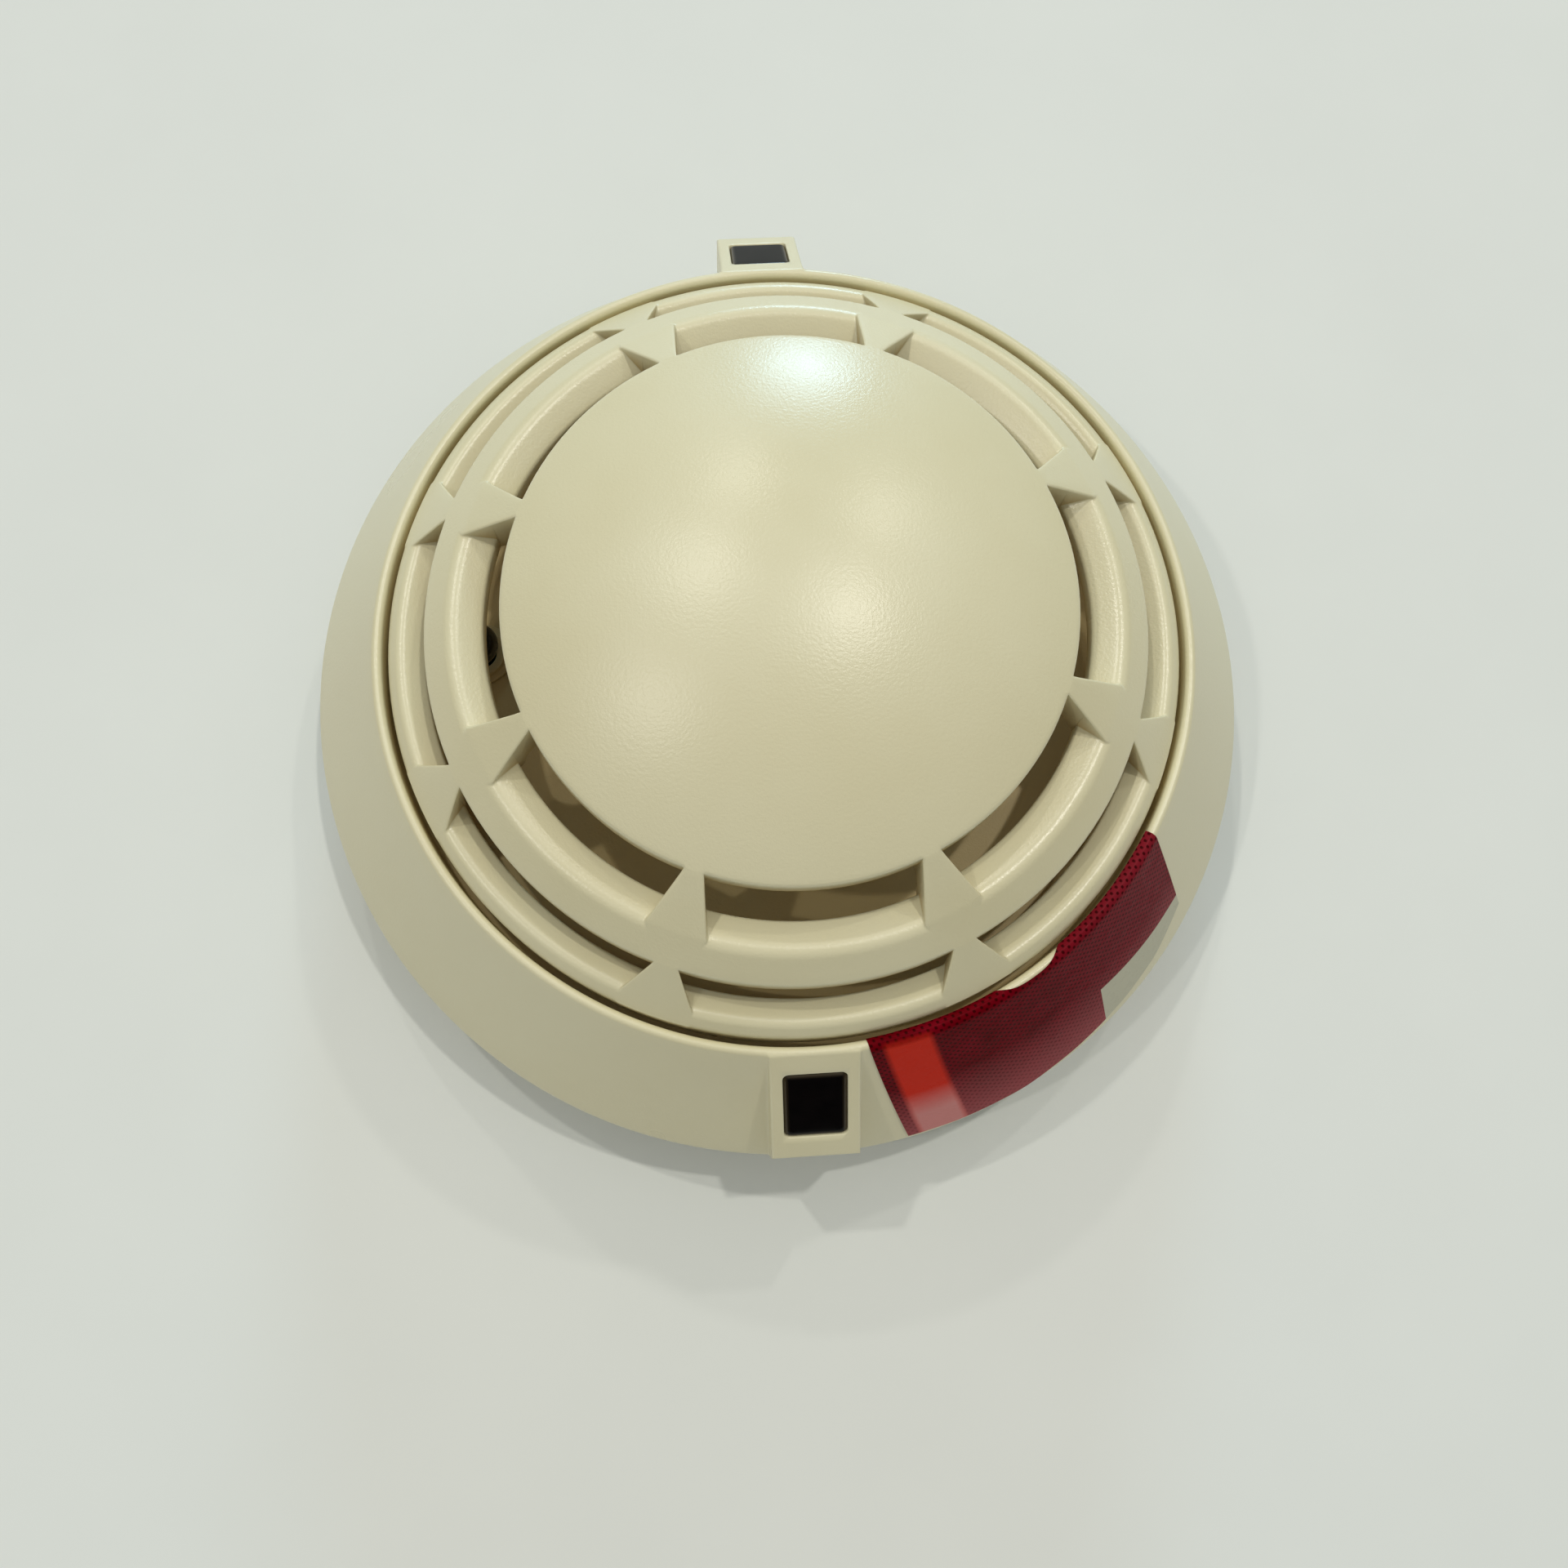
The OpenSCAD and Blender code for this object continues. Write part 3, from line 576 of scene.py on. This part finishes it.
def under_height(r, beside_slot):
    if r <= DISC_R - 2.6 or (r <= DISC_R and beside_slot):
        return dome_under(r)
    return between(r, underside)


underside = [
    (DISC_R - 2.6, dome_under(DISC_R - 2.6)), (DISC_R - 1.6, RING1_Z - 1.6), (RING1_IN - 1.1, RING1_Z - 1.6),
    (RING1_IN - 0.4, RING1_Z - 3.3), (RING1_CREST - 1.5, RING1_Z - 3.3), (RING1_CREST + 1, RING1_OUT_Z - 2.3),
    (RING1_OUT + 0.1, RING1_OUT_Z - 2.3), (RING1_OUT + 0.5, edge_z - 1.6), (cover_r - 1.6, edge_z - 1.6),
    (cover_r - 1.3, deck_top), (cover_r + 1, deck_top),
]


print("underside of the disc at", round(under_height(0, False), 1))

# %% A solid from two grids
def grid_solid(bm, top, under, solid):
    """Skin two grids, row by column, and wall up the border of every cell that is left out."""
    made = {}

    def vert(grid, i, j):
        j %= len(grid[i])
        key = (grid is top, i, j)
        if key not in made:
            made[key] = bm.verts.new(grid[i][j])
        return made[key]

    count = len(top[0])
    for i in range(len(top) - 1):
        for j in range(count):
            if not solid(i, j):
                continue
            ring = [(i, j), (i + 1, j), (i + 1, j + 1), (i, j + 1)]
            bm.faces.new([vert(top, *c) for c in ring])
            bm.faces.new([vert(under, *c) for c in reversed(ring)])
            beyond = [(i, j - 1), (i + 1, j), (i, j + 1), (i - 1, j)]
            for k, (ni, nj) in enumerate(beyond):
                if ni < 0 or (ni < len(top) - 1 and solid(ni, nj % count)):
                    continue
                a, b = ring[k], ring[(k + 1) % 4]
                wall = (vert(top, *b), vert(top, *a), vert(under, *a), vert(under, *b))
                bm.faces.new(wall)


def over_slot(column, margin=0.0):
    kind, d, hand = column
    return kind == "slot" or (kind == "side" and d >= margin)


every_column = [(c, s) for s in range(RIBS) for c in columns]
beside = [over_slot(c) for c, s in every_column]
top, under = [], []
for r, z_slot in rows:
    placed = [(column_angle(c, s, r), c) for c, s in every_column]
    top.append([spot_at(r, a, top_height(r, z_slot, c)) for a, c in placed])
    under.append([spot_at(r, a, under_height(r, over_slot(c, 0.01))) for a, c in placed])
print("grid:", len(top), "rows by", len(top[0]), "columns")

# %% Build the cover
SLOTS = ((DISC_R, RING1_IN), (RING1_OUT, RING2_IN))


def cover_solid(i, j):
    inner, outer = rows[i][0], rows[i + 1][0]
    gap = any(inner >= a - 1e-6 and outer <= b + 1e-6 for a, b in SLOTS)
    return not (gap and beside[j] and beside[(j + 1) % len(beside)])


# Painted shade: the feet of the slots' side walls darken with depth below the top, and the whole underside is
# fully shaded.
def painted_shade_marks():
    marks = {}
    for i, (r, z_slot) in enumerate(rows):
        for j, (column, sector) in enumerate(every_column):
            kind, d, hand = column
            if kind == "side" and abs(d - 0.015) < 0.02 and RING1_IN <= r < RING2_CREST:
                marks[top[i][j].to_tuple(3)] = clamp((envelope(r) - top[i][j].z - 0.4) / 1.6)
            if r < cover_r - 1.5:
                marks[under[i][j].to_tuple(3)] = 1.0
    return marks


bm = bmesh.new()
painted_shade = bm.verts.layers.float.new("painted_shade")
grid_solid(bm, top, under, cover_solid)
marks = painted_shade_marks()
for v in bm.verts:
    v[painted_shade] = marks.get(v.co.to_tuple(3), 0.0)
bmesh.ops.remove_doubles(bm, verts=bm.verts, dist=1e-5)
leg_low = (cover_r - 2.9, -2.5, deck_top - 3.6)
leg_high = (cover_r - 1.1, 2.5, edge_z - 1.2)
for k in range(4):
    add_box(bm, leg_low, leg_high, radians(45 + 90 * k), 0.35)
bmesh.ops.recalc_face_normals(bm, faces=bm.faces)
# Painted shade inside the cover's wall, growing below its edge.
mark_painted_shade(bm, cover_r - 1, edge_z - 0.2, edge_z - 1.8)
add_piece("cover_moulding", bm, "cream_plastic", "cover", ["inlet_cover"], corner=50)

# %% [markdown]
# ## The outer housing
# The skirt is a turned shape with a rounded lip, and each indicator window sits in a flat-sided tab that
# grows out of it. Skirt and tab share the same rows, so beside a tab the section simply moves from one
# outline to the other over a few close columns, which leaves a rounded edge above and a small fillet
# below. Holes are cut afterwards.

# %% Sections of skirt and tab
LIP_ROUND = 0.55
LAND = 0.8
SKIRT_T = 1.9
TAB_H = 8.0
FOOT_ROUND, TAB_CORNER, RIM_CORNER = 1.2, 0.45, 0.25
lip_c = Vector((lip_in + LIP_ROUND, lip_z - LIP_ROUND))


def on_lip(b):
    return lip_c + LIP_ROUND * Vector((cos(b), sin(b)))


def leaves_lip(goal):
    """The angle on the lip's arc where a straight line to a point leaves it smoothly."""
    return atan2(goal.y - lip_c.y, goal.x - lip_c.x) + acos(LIP_ROUND / (goal - lip_c).length)


foot = Vector((rim_r, rim_z + LAND))
rise = leaves_lip(foot)
head = on_lip(rise)
wall = SKIRT_T / cos(rise)
tab_x = shell_high.y
tab_end = Vector((tab_x, rim_z + TAB_H))
tab_rise = leaves_lip(tab_end)
tab_head = on_lip(tab_rise)
tab_slope = pi / 2 - tab_rise
print("slope of the skirt", round(90 - degrees(rise), 1), "and of a tab", round(degrees(tab_slope), 1))

# %% Rows on skirt and tab
def section(*points):
    return [Vector(p) for p in points]


def rounded(before, at, after, radius, steps=4):
    u, v = (before - at).normalized(), (after - at).normalized()
    half = acos(max(-1, min(1, u.dot(v)))) / 2
    reach = radius / tan(half)
    centre = at + (u + v).normalized() * radius / sin(half)
    a, b = at + u * reach - centre, at + v * reach - centre
    sweep = a.angle(b)
    shares = [k / steps for k in range(steps + 1)]
    return [centre + (a * sin(sweep * (1 - t)) + b * sin(sweep * t)) / sin(sweep) for t in shares]


def along(a, b, count):
    return [a.lerp(b, k / count) for k in range(count)]


def inner_r(z):
    return foot.x - wall - (z - foot.y) * tan(rise)


def lip_arc(end):
    return [on_lip(pi / 2 + (end - pi / 2) * k / 4) for k in range(1, 5)]


rim_corner, rim_under = section((rim_r, rim_z), (rim_r - 2, rim_z))
tab_corner = Vector((tab_x, rim_z))
inside = section(*[(r, deck_top) for r in (0, 8, 16, 24, 30, 35, 38, lip_in - 0.5)])
inside += rounded(*section((lip_in - 0.5, deck_top), (lip_in, deck_top), (lip_in, lip_z - 2)), 0.3, 3)
inside += section((lip_in, lip_z - 3), (lip_in, lip_z - 1.4))
inside += [on_lip(pi - k * pi / 12) for k in range(7)]
foot_round = rounded(head, foot, rim_corner, FOOT_ROUND)
skirt = lip_arc(rise) + along(head, foot_round[0], 11)[1:] + foot_round
skirt += rounded(foot, rim_corner, rim_under, RIM_CORNER, 3)
tab_round = rounded(tab_head, tab_end, tab_corner, TAB_CORNER)
tab_rim = rounded(tab_end, tab_corner, rim_under, RIM_CORNER, 3)
tab = lip_arc(tab_rise)
tab += along(tab_head, tab_round[0], len(skirt) - len(tab_round) - len(tab_rim) - 6)[1:]
tab += tab_round + along(tab_round[-1], tab_rim[0], 4)[1:] + tab_rim
below = section((rim_r - 1.2, rim_z), (foot.x - wall, rim_z), (foot.x - wall, foot.y))
below += along(below[-1], Vector((inner_r(deck_low), deck_low)), 5)[1:]
below += section(*[(r, deck_low) for r in (inner_r(deck_low), 36, 30, 18, 0)])
print("rows on skirt and tab:", len(skirt), len(tab))

# %% Build the housing's shell
TAB_HALF = 4.35
TAB_ROUND = 0.3
TAB_FOOT = {0.04: 1.0, 0.1: 0.5, 0.2: 0.15, 0.35: 0.0, 0.5: 0.0}
PLAIN_COLUMNS = 104
tab_steps = [-TAB_ROUND * (1 - sin(k * pi / 8)) for k in range(5)] + list(TAB_FOOT)
across = [(y, -TAB_HALF) for y in (0, 1.2, 2.4, 3.4)] + [(TAB_HALF + d, d) for d in tab_steps]
lateral = [(-1, y, d) for y, d in reversed(across[1:])] + [(1, y, d) for y, d in across]


def tab_share(distance, d):
    """How far a point is moved from the skirt onto the tab, at a distance d outside the tab's side."""
    if d <= -TAB_ROUND:
        return 1.0
    if d <= 0:
        radius = min(TAB_ROUND, distance / 2)
        return 1 - radius * (1 - sqrt(max(1 - (1 + d / TAB_ROUND) ** 2, 0))) / max(distance, 1e-6)
    return min(0.2, distance / 2) * TAB_FOOT[d] / max(distance, 1e-6)


def shell_ring(plain_spot, tab_spot):
    ring = []
    r, z = plain_spot
    reach = max(r, lip_in)
    last = asin((TAB_HALF + tab_steps[-1]) / reach)
    for side in (-1, 1):
        for hand, y, d in lateral:
            turn = hand * asin(y / reach)
            spot = spot_at(r, turn, z)
            if tab_spot is not None:
                goal = Vector((tab_spot.x, hand * y, tab_spot.y))
                spot = spot.lerp(goal, tab_share((goal - spot).length, d))
            ring.append(Matrix.Rotation(side * pi / 2, 3, "Z") @ spot)
        for k in range(1, PLAIN_COLUMNS):
            a = side * pi / 2 + last + (pi - 2 * last) * k / PLAIN_COLUMNS
            ring.append(spot_at(r, a, z))
    return ring


def skin(bm, rings):
    loops = [[bm.verts.new(v) for v in ring] for ring in rings]
    for a, b in zip(loops, loops[1:]):
        for k in range(len(a)):
            n = (k + 1) % len(a)
            bm.faces.new((a[k], b[k], b[n], a[n]))
    return loops


def open_edges(bm):
    return sum(len(e.link_faces) != 2 for e in bm.edges)


rings = [shell_ring(p, None) for p in inside]
rings += [shell_ring(p, q) for p, q in zip(skirt, tab)]
rings += [shell_ring(p, None) for p in below]
shell = bmesh.new()
skin(shell, rings)
bmesh.ops.remove_doubles(shell, verts=shell.verts, dist=1e-3)
bmesh.ops.recalc_face_normals(shell, faces=shell.faces)
print("shell before cutting:", len(shell.faces), "faces,", open_edges(shell), "open edges")

# %% [markdown]
# ## Cutting the housing's holes
# Each window sits in a shallow pocket with rounded corners, and a light pipe passes behind it. A boolean
# is right here, because pockets are flat-sided and few. All the cutters are joined and used in one cut,
# while the mesh is still in millimetres: cutting again and again at metre scale rounds the vertices until
# the solid leaks.

# %% Rounded rectangles and lofts
def rounded_rectangle(width, height, radius, steps=6):
    points = []
    for k, (sx, sy) in enumerate(((1, 1), (-1, 1), (-1, -1), (1, -1))):
        for n in range(steps + 1):
            a = (k + n / steps) * pi / 2
            x = sx * (width / 2 - radius) + radius * cos(a)
            y = sy * (height / 2 - radius) + radius * sin(a)
            points.append(Vector((x, y)))
    return points


def loft(bm, levels, place=None):
    loops = skin(bm, [[Vector((p.x, p.y, z)) for p in outline] for outline, z in levels])
    bm.faces.new(loops[0])
    bm.faces.new(list(reversed(loops[-1])))
    if place is not None:
        bmesh.ops.transform(bm, matrix=place, verts=[v for loop in loops for v in loop])


PLATE_W = 7.9
PLATE_H = 6.2
window_run = (tab_end - tab_head).normalized()
window_mid = (Vector((lip_c.x, lip_z)) + tab_end) / 2
window_spot = tab_head + window_run * (window_mid - tab_head).dot(window_run)
to_window = {}
for name, azimuth in (("near", -90), ("far", 90)):
    turn = Matrix.Rotation(radians(azimuth), 4, "Z")
    place = turn @ Matrix.Translation((window_spot.x, 0, window_spot.y))
    to_window[name] = place @ Matrix.Rotation(tab_slope, 4, "Y")
print("window centre", [round(v, 2) for v in window_spot])

# %% Cutters and the cut
cutters = bmesh.new()
pocket = [(-1.6, 0, 0.62), (-0.12, 0, 0.62), (-0.05, 0.03, 0.64), (0.0, 0.09, 0.7), (0.6, 0.8, 1.2)]
through_deck = (deck_low - 1, deck_top + 1)
for place in to_window.values():
    steps = [(rounded_rectangle(5, 5, 0.3), z) for z in (-9, -1.6)]
    for z, grow, radius in pocket:
        steps.append((rounded_rectangle(PLATE_W + 2 * grow, PLATE_H + 2 * grow, radius), z))
    loft(cutters, steps, place)
for k in range(4):
    turn = Matrix.Rotation(radians(45 + 90 * k), 4, "Z") @ Matrix.Translation((cover_r - 2, 0, 0))
    loft(cutters, [(rounded_rectangle(2.4, 5.6, 0.2), z) for z in through_deck], turn)
bead_place = Matrix.Rotation(radians(177), 4, "Z") @ Matrix.Translation((RING1_IN + 2, 0, 0))
loft(cutters, [(rounded_rectangle(5.2, 5.2, 2.59, 10), z) for z in through_deck], bead_place)
bmesh.ops.recalc_face_normals(cutters, faces=cutters.faces)


def cut(bm, tool):
    piece = new_object("uncut", mesh_from("uncut", bm))
    knife = new_object("knife", mesh_from("knife", tool))
    step = piece.modifiers.new("cut", "BOOLEAN")
    step.object = knife
    step.operation = "DIFFERENCE"
    step.solver = "EXACT"
    bpy.context.view_layer.update()
    result = bmesh.new()
    result.from_mesh(piece.evaluated_get(bpy.context.evaluated_depsgraph_get()).data)
    bpy.data.objects.remove(piece)
    bpy.data.objects.remove(knife)
    return result


shell = cut(shell, cutters)
bmesh.ops.remove_doubles(shell, verts=shell.verts, dist=1e-4)
print("shell after cutting:", len(shell.faces), "faces,", open_edges(shell), "open edges")
# Painted shade inside the lip: down its inner wall and over the whole deck.
mark_painted_shade(shell, lip_in + 0.02, lip_z - 0.7, lip_z - 1.8)
add_piece("housing_shell", shell, "cream_plastic", "head", ["outer_housing"], corner=45)

# %% [markdown]
# ## Windows
# Each indicator window is a smoked plastic plate with rounded corners and a polished face, all but flush.
# It is lofted through rounded rectangles that shrink and rise towards the middle, and its outermost loops
# are marked, so that the finish can let a little brown through at the thin edge.

# %% Build the windows
PLATE_LEVELS = [
    (-1.6, 0.05), (-0.42, 0.05), (-0.28, 0.08), (-0.16, 0.16), (-0.08, 0.28),
    (-0.05, 0.42), (-0.04, 0.6), (-0.03, 1.2), (-0.02, 2.4),
]


def plate_outline(inset):
    return rounded_rectangle(PLATE_W - 2 * inset, PLATE_H - 2 * inset, max(0.6 - inset * 0.2, 0.2))


def window_piece(name, place, node):
    bm = bmesh.new()
    loft(bm, [(plate_outline(inset), z) for z, inset in PLATE_LEVELS])
    loft(bm, [(rounded_rectangle(4.9, 4.9, 0.3), z) for z in (-2.8, -2.7, -1.55)])
    bmesh.ops.recalc_face_normals(bm, faces=bm.faces)
    rim = bm.verts.layers.float.new("rim")
    for v in bm.verts:
        inset = min(PLATE_W / 2 - abs(v.co.x), PLATE_H / 2 - abs(v.co.y))
        v[rim] = max(0.0, 1 - inset / 0.5)
    bmesh.ops.transform(bm, matrix=place, verts=bm.verts)
    add_piece(name, bm, "smoked_window", "head", [node], corner=50)


for name, place in to_window.items():
    window_piece("window_plate_" + name, place, "window_" + name)

# %% [markdown]
# ## The sensor bead
# The thermistor is dipped in black epoxy, so it is a smooth teardrop that runs down onto its two leads. A
# turned outline gives that shape in one go, and the leads are short tubes below it.

# %% Turned shapes
BALL_R = 2.2
LEAD_R = 0.25
LEAD_APART = 1.27
AXIS_R = 1e-4


def turned(bm, outline, steps, place):
    rings = [[spot_at(r, k * 2 * pi / steps, z) for k in range(steps)] for r, z in outline]
    loops = skin(bm, rings)
    bmesh.ops.transform(bm, matrix=place, verts=[v for loop in loops for v in loop])


bead_low, bead_high = box_mm("sensing_thermistor")
centre_z = bead_high.z - BALL_R
ball = [(AXIS_R, bead_high.z)]
ball += [(BALL_R * sin(k * pi / 16), centre_z + BALL_R * cos(k * pi / 16)) for k in range(1, 13)]
ball += [(1.2, centre_z - 1.75), (1.0, centre_z - 2.1), (AXIS_R, centre_z - 2.25)]
lead = [(AXIS_R, bead_low.z), (LEAD_R, bead_low.z + 0.05)]
lead += [(LEAD_R, centre_z - 1.5), (AXIS_R, centre_z - 1.4)]
bm = bmesh.new()
turned(bm, ball, 40, bead_place)
for side in (-1, 1):
    turned(bm, lead, 12, bead_place @ Matrix.Translation((0, side * LEAD_APART / 2, 0)))
bmesh.ops.remove_doubles(bm, verts=bm.verts, dist=1e-3)
bmesh.ops.recalc_face_normals(bm, faces=bm.faces)
add_piece("sensor_bead", bm, "black_epoxy", "head", ["sensing_thermistor"])

# %% [markdown]
# ## The seal film
# A strip of thin printed film is stuck over the skirt and its lip. It is clear at its lower right margin,
# crimson where it is printed, and woven-looking because the print is a raster of dots. The sheet is a
# grid that follows the skirt's section, with shallow wrinkles, and its finish reads the grid's own
# coordinates in millimetres.

# %% Film finish
DOT_PITCH = 0.8


def film_finish():
    material, tree, shader = blank_material("red_film")
    sheet = add_node(tree, "ShaderNodeUVMap", uv_map="film").outputs["UV"]
    part = add_node(tree, "ShaderNodeSeparateXYZ", {"Vector": sheet})
    u, v = part.outputs["X"], part.outputs["Y"]

    def calc(operation, a, b=0.0):
        return add_node(tree, "ShaderNodeMath", {0: a, 1: b}, operation=operation).outputs[0]

    def times(first, *others):
        for other in others:
            first = calc("MULTIPLY", first, other)
        return first

    def step(value, start, end):
        return map_range(tree, value, start, end)

    waves = [calc("SINE", times(axis, 2 * pi / DOT_PITCH)) for axis in (u, v)]
    dots = step(times(*waves), 0.15, 0.7)
    clouds = noise(tree, sheet, 0.25, 3)
    red = mixed(tree, step(clouds, 0.35, 0.65), (0.125, 0.0, 0.003, 1), (0.185, 0.001, 0.008, 1))
    # Painted light: the print lightens towards the film's right end, which faces the lamps.
    red = mixed(tree, times(step(u, 14.0, 30.0), 0.7), red, (0.22, 0.016, 0.026, 1))
    red = mixed(tree, times(step(v, 9.5, 19.0), 0.75), red, (0.43, 0.115, 0.125, 1))
    dot_share = calc("SUBTRACT", 0.85, times(step(v, 8.0, 18.0), 0.55))
    red = mixed(tree, times(dots, dot_share), red, (0.025, 0.0, 0.0, 1))
    patch = times(step(u, 1.0, 1.7), step(u, 6.3, 5.6), step(v, 0.9, 1.9))
    red = mixed(tree, patch, red, (0.66, 0.03, 0.014, 1))
    red = mixed(tree, times(patch, step(v, 11.0, 15.5)), red, (0.68, 0.27, 0.26, 1))
    margin = calc("SUBTRACT", times(step(u, 23.4, 36.0), 1.2), 6.8)
    end = calc("ADD", 19.3, times(step(u, 22.8, 23.4), margin))
    printed = step(calc("SUBTRACT", end, v), -0.06, 0.06)
    colour = mixed(tree, printed, (0.60, 0.585, 0.46, 1), red)
    tree.links.new(colour, shader.inputs["Base Color"])
    crease = noise(tree, sheet, 0.8, 4)
    add_bump(tree, shader, crease, 0.5, 0.0001)
    tree.links.new(spread(tree, crease, 0.22, 0.38), shader.inputs["Roughness"])
    shader.inputs["Specular IOR Level"].default_value = 0.02
    return material


finishes["red_film"] = film_finish()
print("film finish:", finishes["red_film"].name)

# %% Build the film
FILM_LEFT, FILM_RIGHT = -83.0, -32.2
FILM_WIDE, FILM_T, FILM_LIFT = 36, 0.05, 0.07


def skirt_spot(depth):
    """The skirt's section at a distance down from the lip's inner edge, with its outward normal."""
    lip_length = LIP_ROUND * (pi - rise)
    if depth < lip_length:
        b = pi - depth / LIP_ROUND
        return on_lip(b), Vector((cos(b), sin(b)))
    normal = Vector((cos(rise), sin(rise)))
    return head + (foot - head).normalized() * (depth - lip_length), normal


def film_grid(u_steps, v_steps, spot, thickness):
    bm = bmesh.new()
    uv = bm.loops.layers.uv.new("film")
    grids, marks = [], {}
    for lift in (thickness, 0.0):
        grid = []
        for j in range(v_steps + 1):
            line = []
            for i in range(u_steps + 1):
                place, mark = spot(i / u_steps, j / v_steps, lift)
                vert = bm.verts.new(place)
                marks[vert] = mark
                line.append(vert)
            grid.append(line)
        grids.append(grid)
    front, back = grids
    for j in range(v_steps):
        for i in range(u_steps):
            bm.faces.new((front[j][i], front[j + 1][i], front[j + 1][i + 1], front[j][i + 1]))
            bm.faces.new((back[j][i], back[j][i + 1], back[j + 1][i + 1], back[j + 1][i]))
    edge = [(0, i) for i in range(u_steps)] + [(j, u_steps) for j in range(v_steps)]
    edge += [(v_steps, i) for i in range(u_steps, 0, -1)] + [(j, 0) for j in range(v_steps, 0, -1)]
    for (j0, i0), (j1, i1) in zip(edge, edge[1:] + edge[:1]):
        bm.faces.new((front[j0][i0], front[j1][i1], back[j1][i1], back[j0][i0]))
    for face in bm.faces:
        for loop in face.loops:
            loop[uv].uv = marks[loop.vert]
    bmesh.ops.recalc_face_normals(bm, faces=bm.faces)
    return bm


def film_spot(u, v, lift):
    dip = max(0.0, 1 - abs((u - 0.48) / 0.11) ** 3)
    start = 0.15 + 0.95 * dip
    length = between(u, [(0, 19.0), (0.3, 19.4), (0.62, 18.6), (0.85, 17.6), (1, 15.6)])
    depth = start + (length - start) * v
    azimuth = (FILM_LEFT + 0.235 * depth) * (1 - u) + (FILM_RIGHT - 0.12 * depth) * u
    place, normal = skirt_spot(depth)
    ripple = 0.05 * sin(9 * u + 5 * v) * sin(7 * u - 3 * v + 1)
    ripple += 0.16 * max(0, v - 0.75) * sin(17 * u + 2) ** 2
    spot = place + normal * (FILM_LIFT + lift + max(ripple, 0))
    return spot_at(spot.x, radians(azimuth), spot.y), Vector((u * FILM_WIDE, depth))


bm = film_grid(110, 44, film_spot, FILM_T)
add_piece("seal_print", bm, "red_film", "head", ["seal_film"], corner=60)

# %% [markdown]
# ## Everything inside and behind
# The base, rear cover, board, contacts and screws already have the right shape in the imported model. A
# real part has no razor edges, though, so each one's mesh is copied, its flat facets are merged back into
# whole faces, and every sharp edge gets a small bevel that catches light. The sensor's sleeve stands in
# the chamber, so all of it gets the browner painted shade.

# %% Soften the imported parts
ALL_PAINTED_SHADE = (100, 90, 80)


def softened(node, finish, body, width):
    bm = bmesh.new()
    bm.from_mesh(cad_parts[node].data)
    bmesh.ops.scale(bm, vec=(1 / MM, 1 / MM, 1 / MM), verts=bm.verts)
    bmesh.ops.remove_doubles(bm, verts=bm.verts, dist=1e-4)
    bmesh.ops.dissolve_limit(bm, angle_limit=radians(0.5), verts=bm.verts, edges=bm.edges)
    mesh = mesh_from(node + "_eased", bm)
    helper = new_object(node + "_helper", mesh)
    step = helper.modifiers.new("ease", "BEVEL")
    step.width = width
    step.segments = 2
    step.limit_method = "ANGLE"
    step.angle_limit = radians(32)
    step.use_clamp_overlap = True
    bpy.context.view_layer.update()
    eased = bpy.data.meshes.new_from_object(helper.evaluated_get(bpy.context.evaluated_depsgraph_get()))
    bpy.data.objects.remove(helper)
    bm = bmesh.new()
    bm.from_mesh(eased)
    bmesh.ops.triangulate(bm, faces=[f for f in bm.faces if len(f.verts) > 4])
    # Painted shade over the whole sleeve, which stands in the chamber.
    if node == "thermistor_sleeve":
        mark_painted_shade(bm, *ALL_PAINTED_SHADE)
    add_piece(node + "_part", bm, finish, body, [node], corner=30)


parts = {
    "mounting_base": ("base_plastic", "base", 0.25), "rear_cover": ("base_plastic", "head", 0.2),
    "sealing_gasket": ("black_rubber", "head", 0.1), "housing_screws": ("screw_steel", "head", 0.1),
    "terminal_clamps": ("screw_steel", "base", 0.08), "terminal_screws": ("screw_steel", "base", 0.1),
    "circuit_board": ("green_board", "head", 0.08), "controller_chip": ("chip_black", "head", 0.05),
    "capacitor": ("capacitor_sleeve", "head", 0.2), "bridge_rectifier": ("chip_black", "head", 0.08),
    "resistors": ("chip_black", "head", 0.06), "reed_switch": ("reed_glass", "head", 0.1),
    "reference_thermistor": ("black_epoxy", "head", 0.05), "thermistor_sleeve": ("cream_plastic", "head", 0.1),
    "led_near": ("red_lens", "head", 0.06), "led_far": ("red_lens", "head", 0.06),
}
for k in range(1, 5):
    parts[f"base_contact_{k}"] = ("contact_brass", "base", 0.08)
    parts[f"contact_blade_{k}"] = ("contact_brass", "head", 0.08)
for node, (finish, body, width) in parts.items():
    softened(node, finish, body, width)

# %% [markdown]
# ## Floor finish and the imported parts
# The imported parts keep their shape and stay hidden behind their detailed pieces; they get their finishes,
# cream plastic where the parts table lists none, and the table gets its own.

# %% Finish
table_top = speckled("table_top", (0.785, 0.805, 0.78), (0.77, 0.79, 0.765), 0.6, 0.03)
table_top.node_tree.nodes["Principled BSDF"].inputs["Specular IOR Level"].default_value = 0.1
floor.data.materials.append(table_top)
for node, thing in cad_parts.items():
    thing.data.materials.clear()
    thing.data.materials.append(finishes[parts.get(node, ("cream_plastic",))[0]])
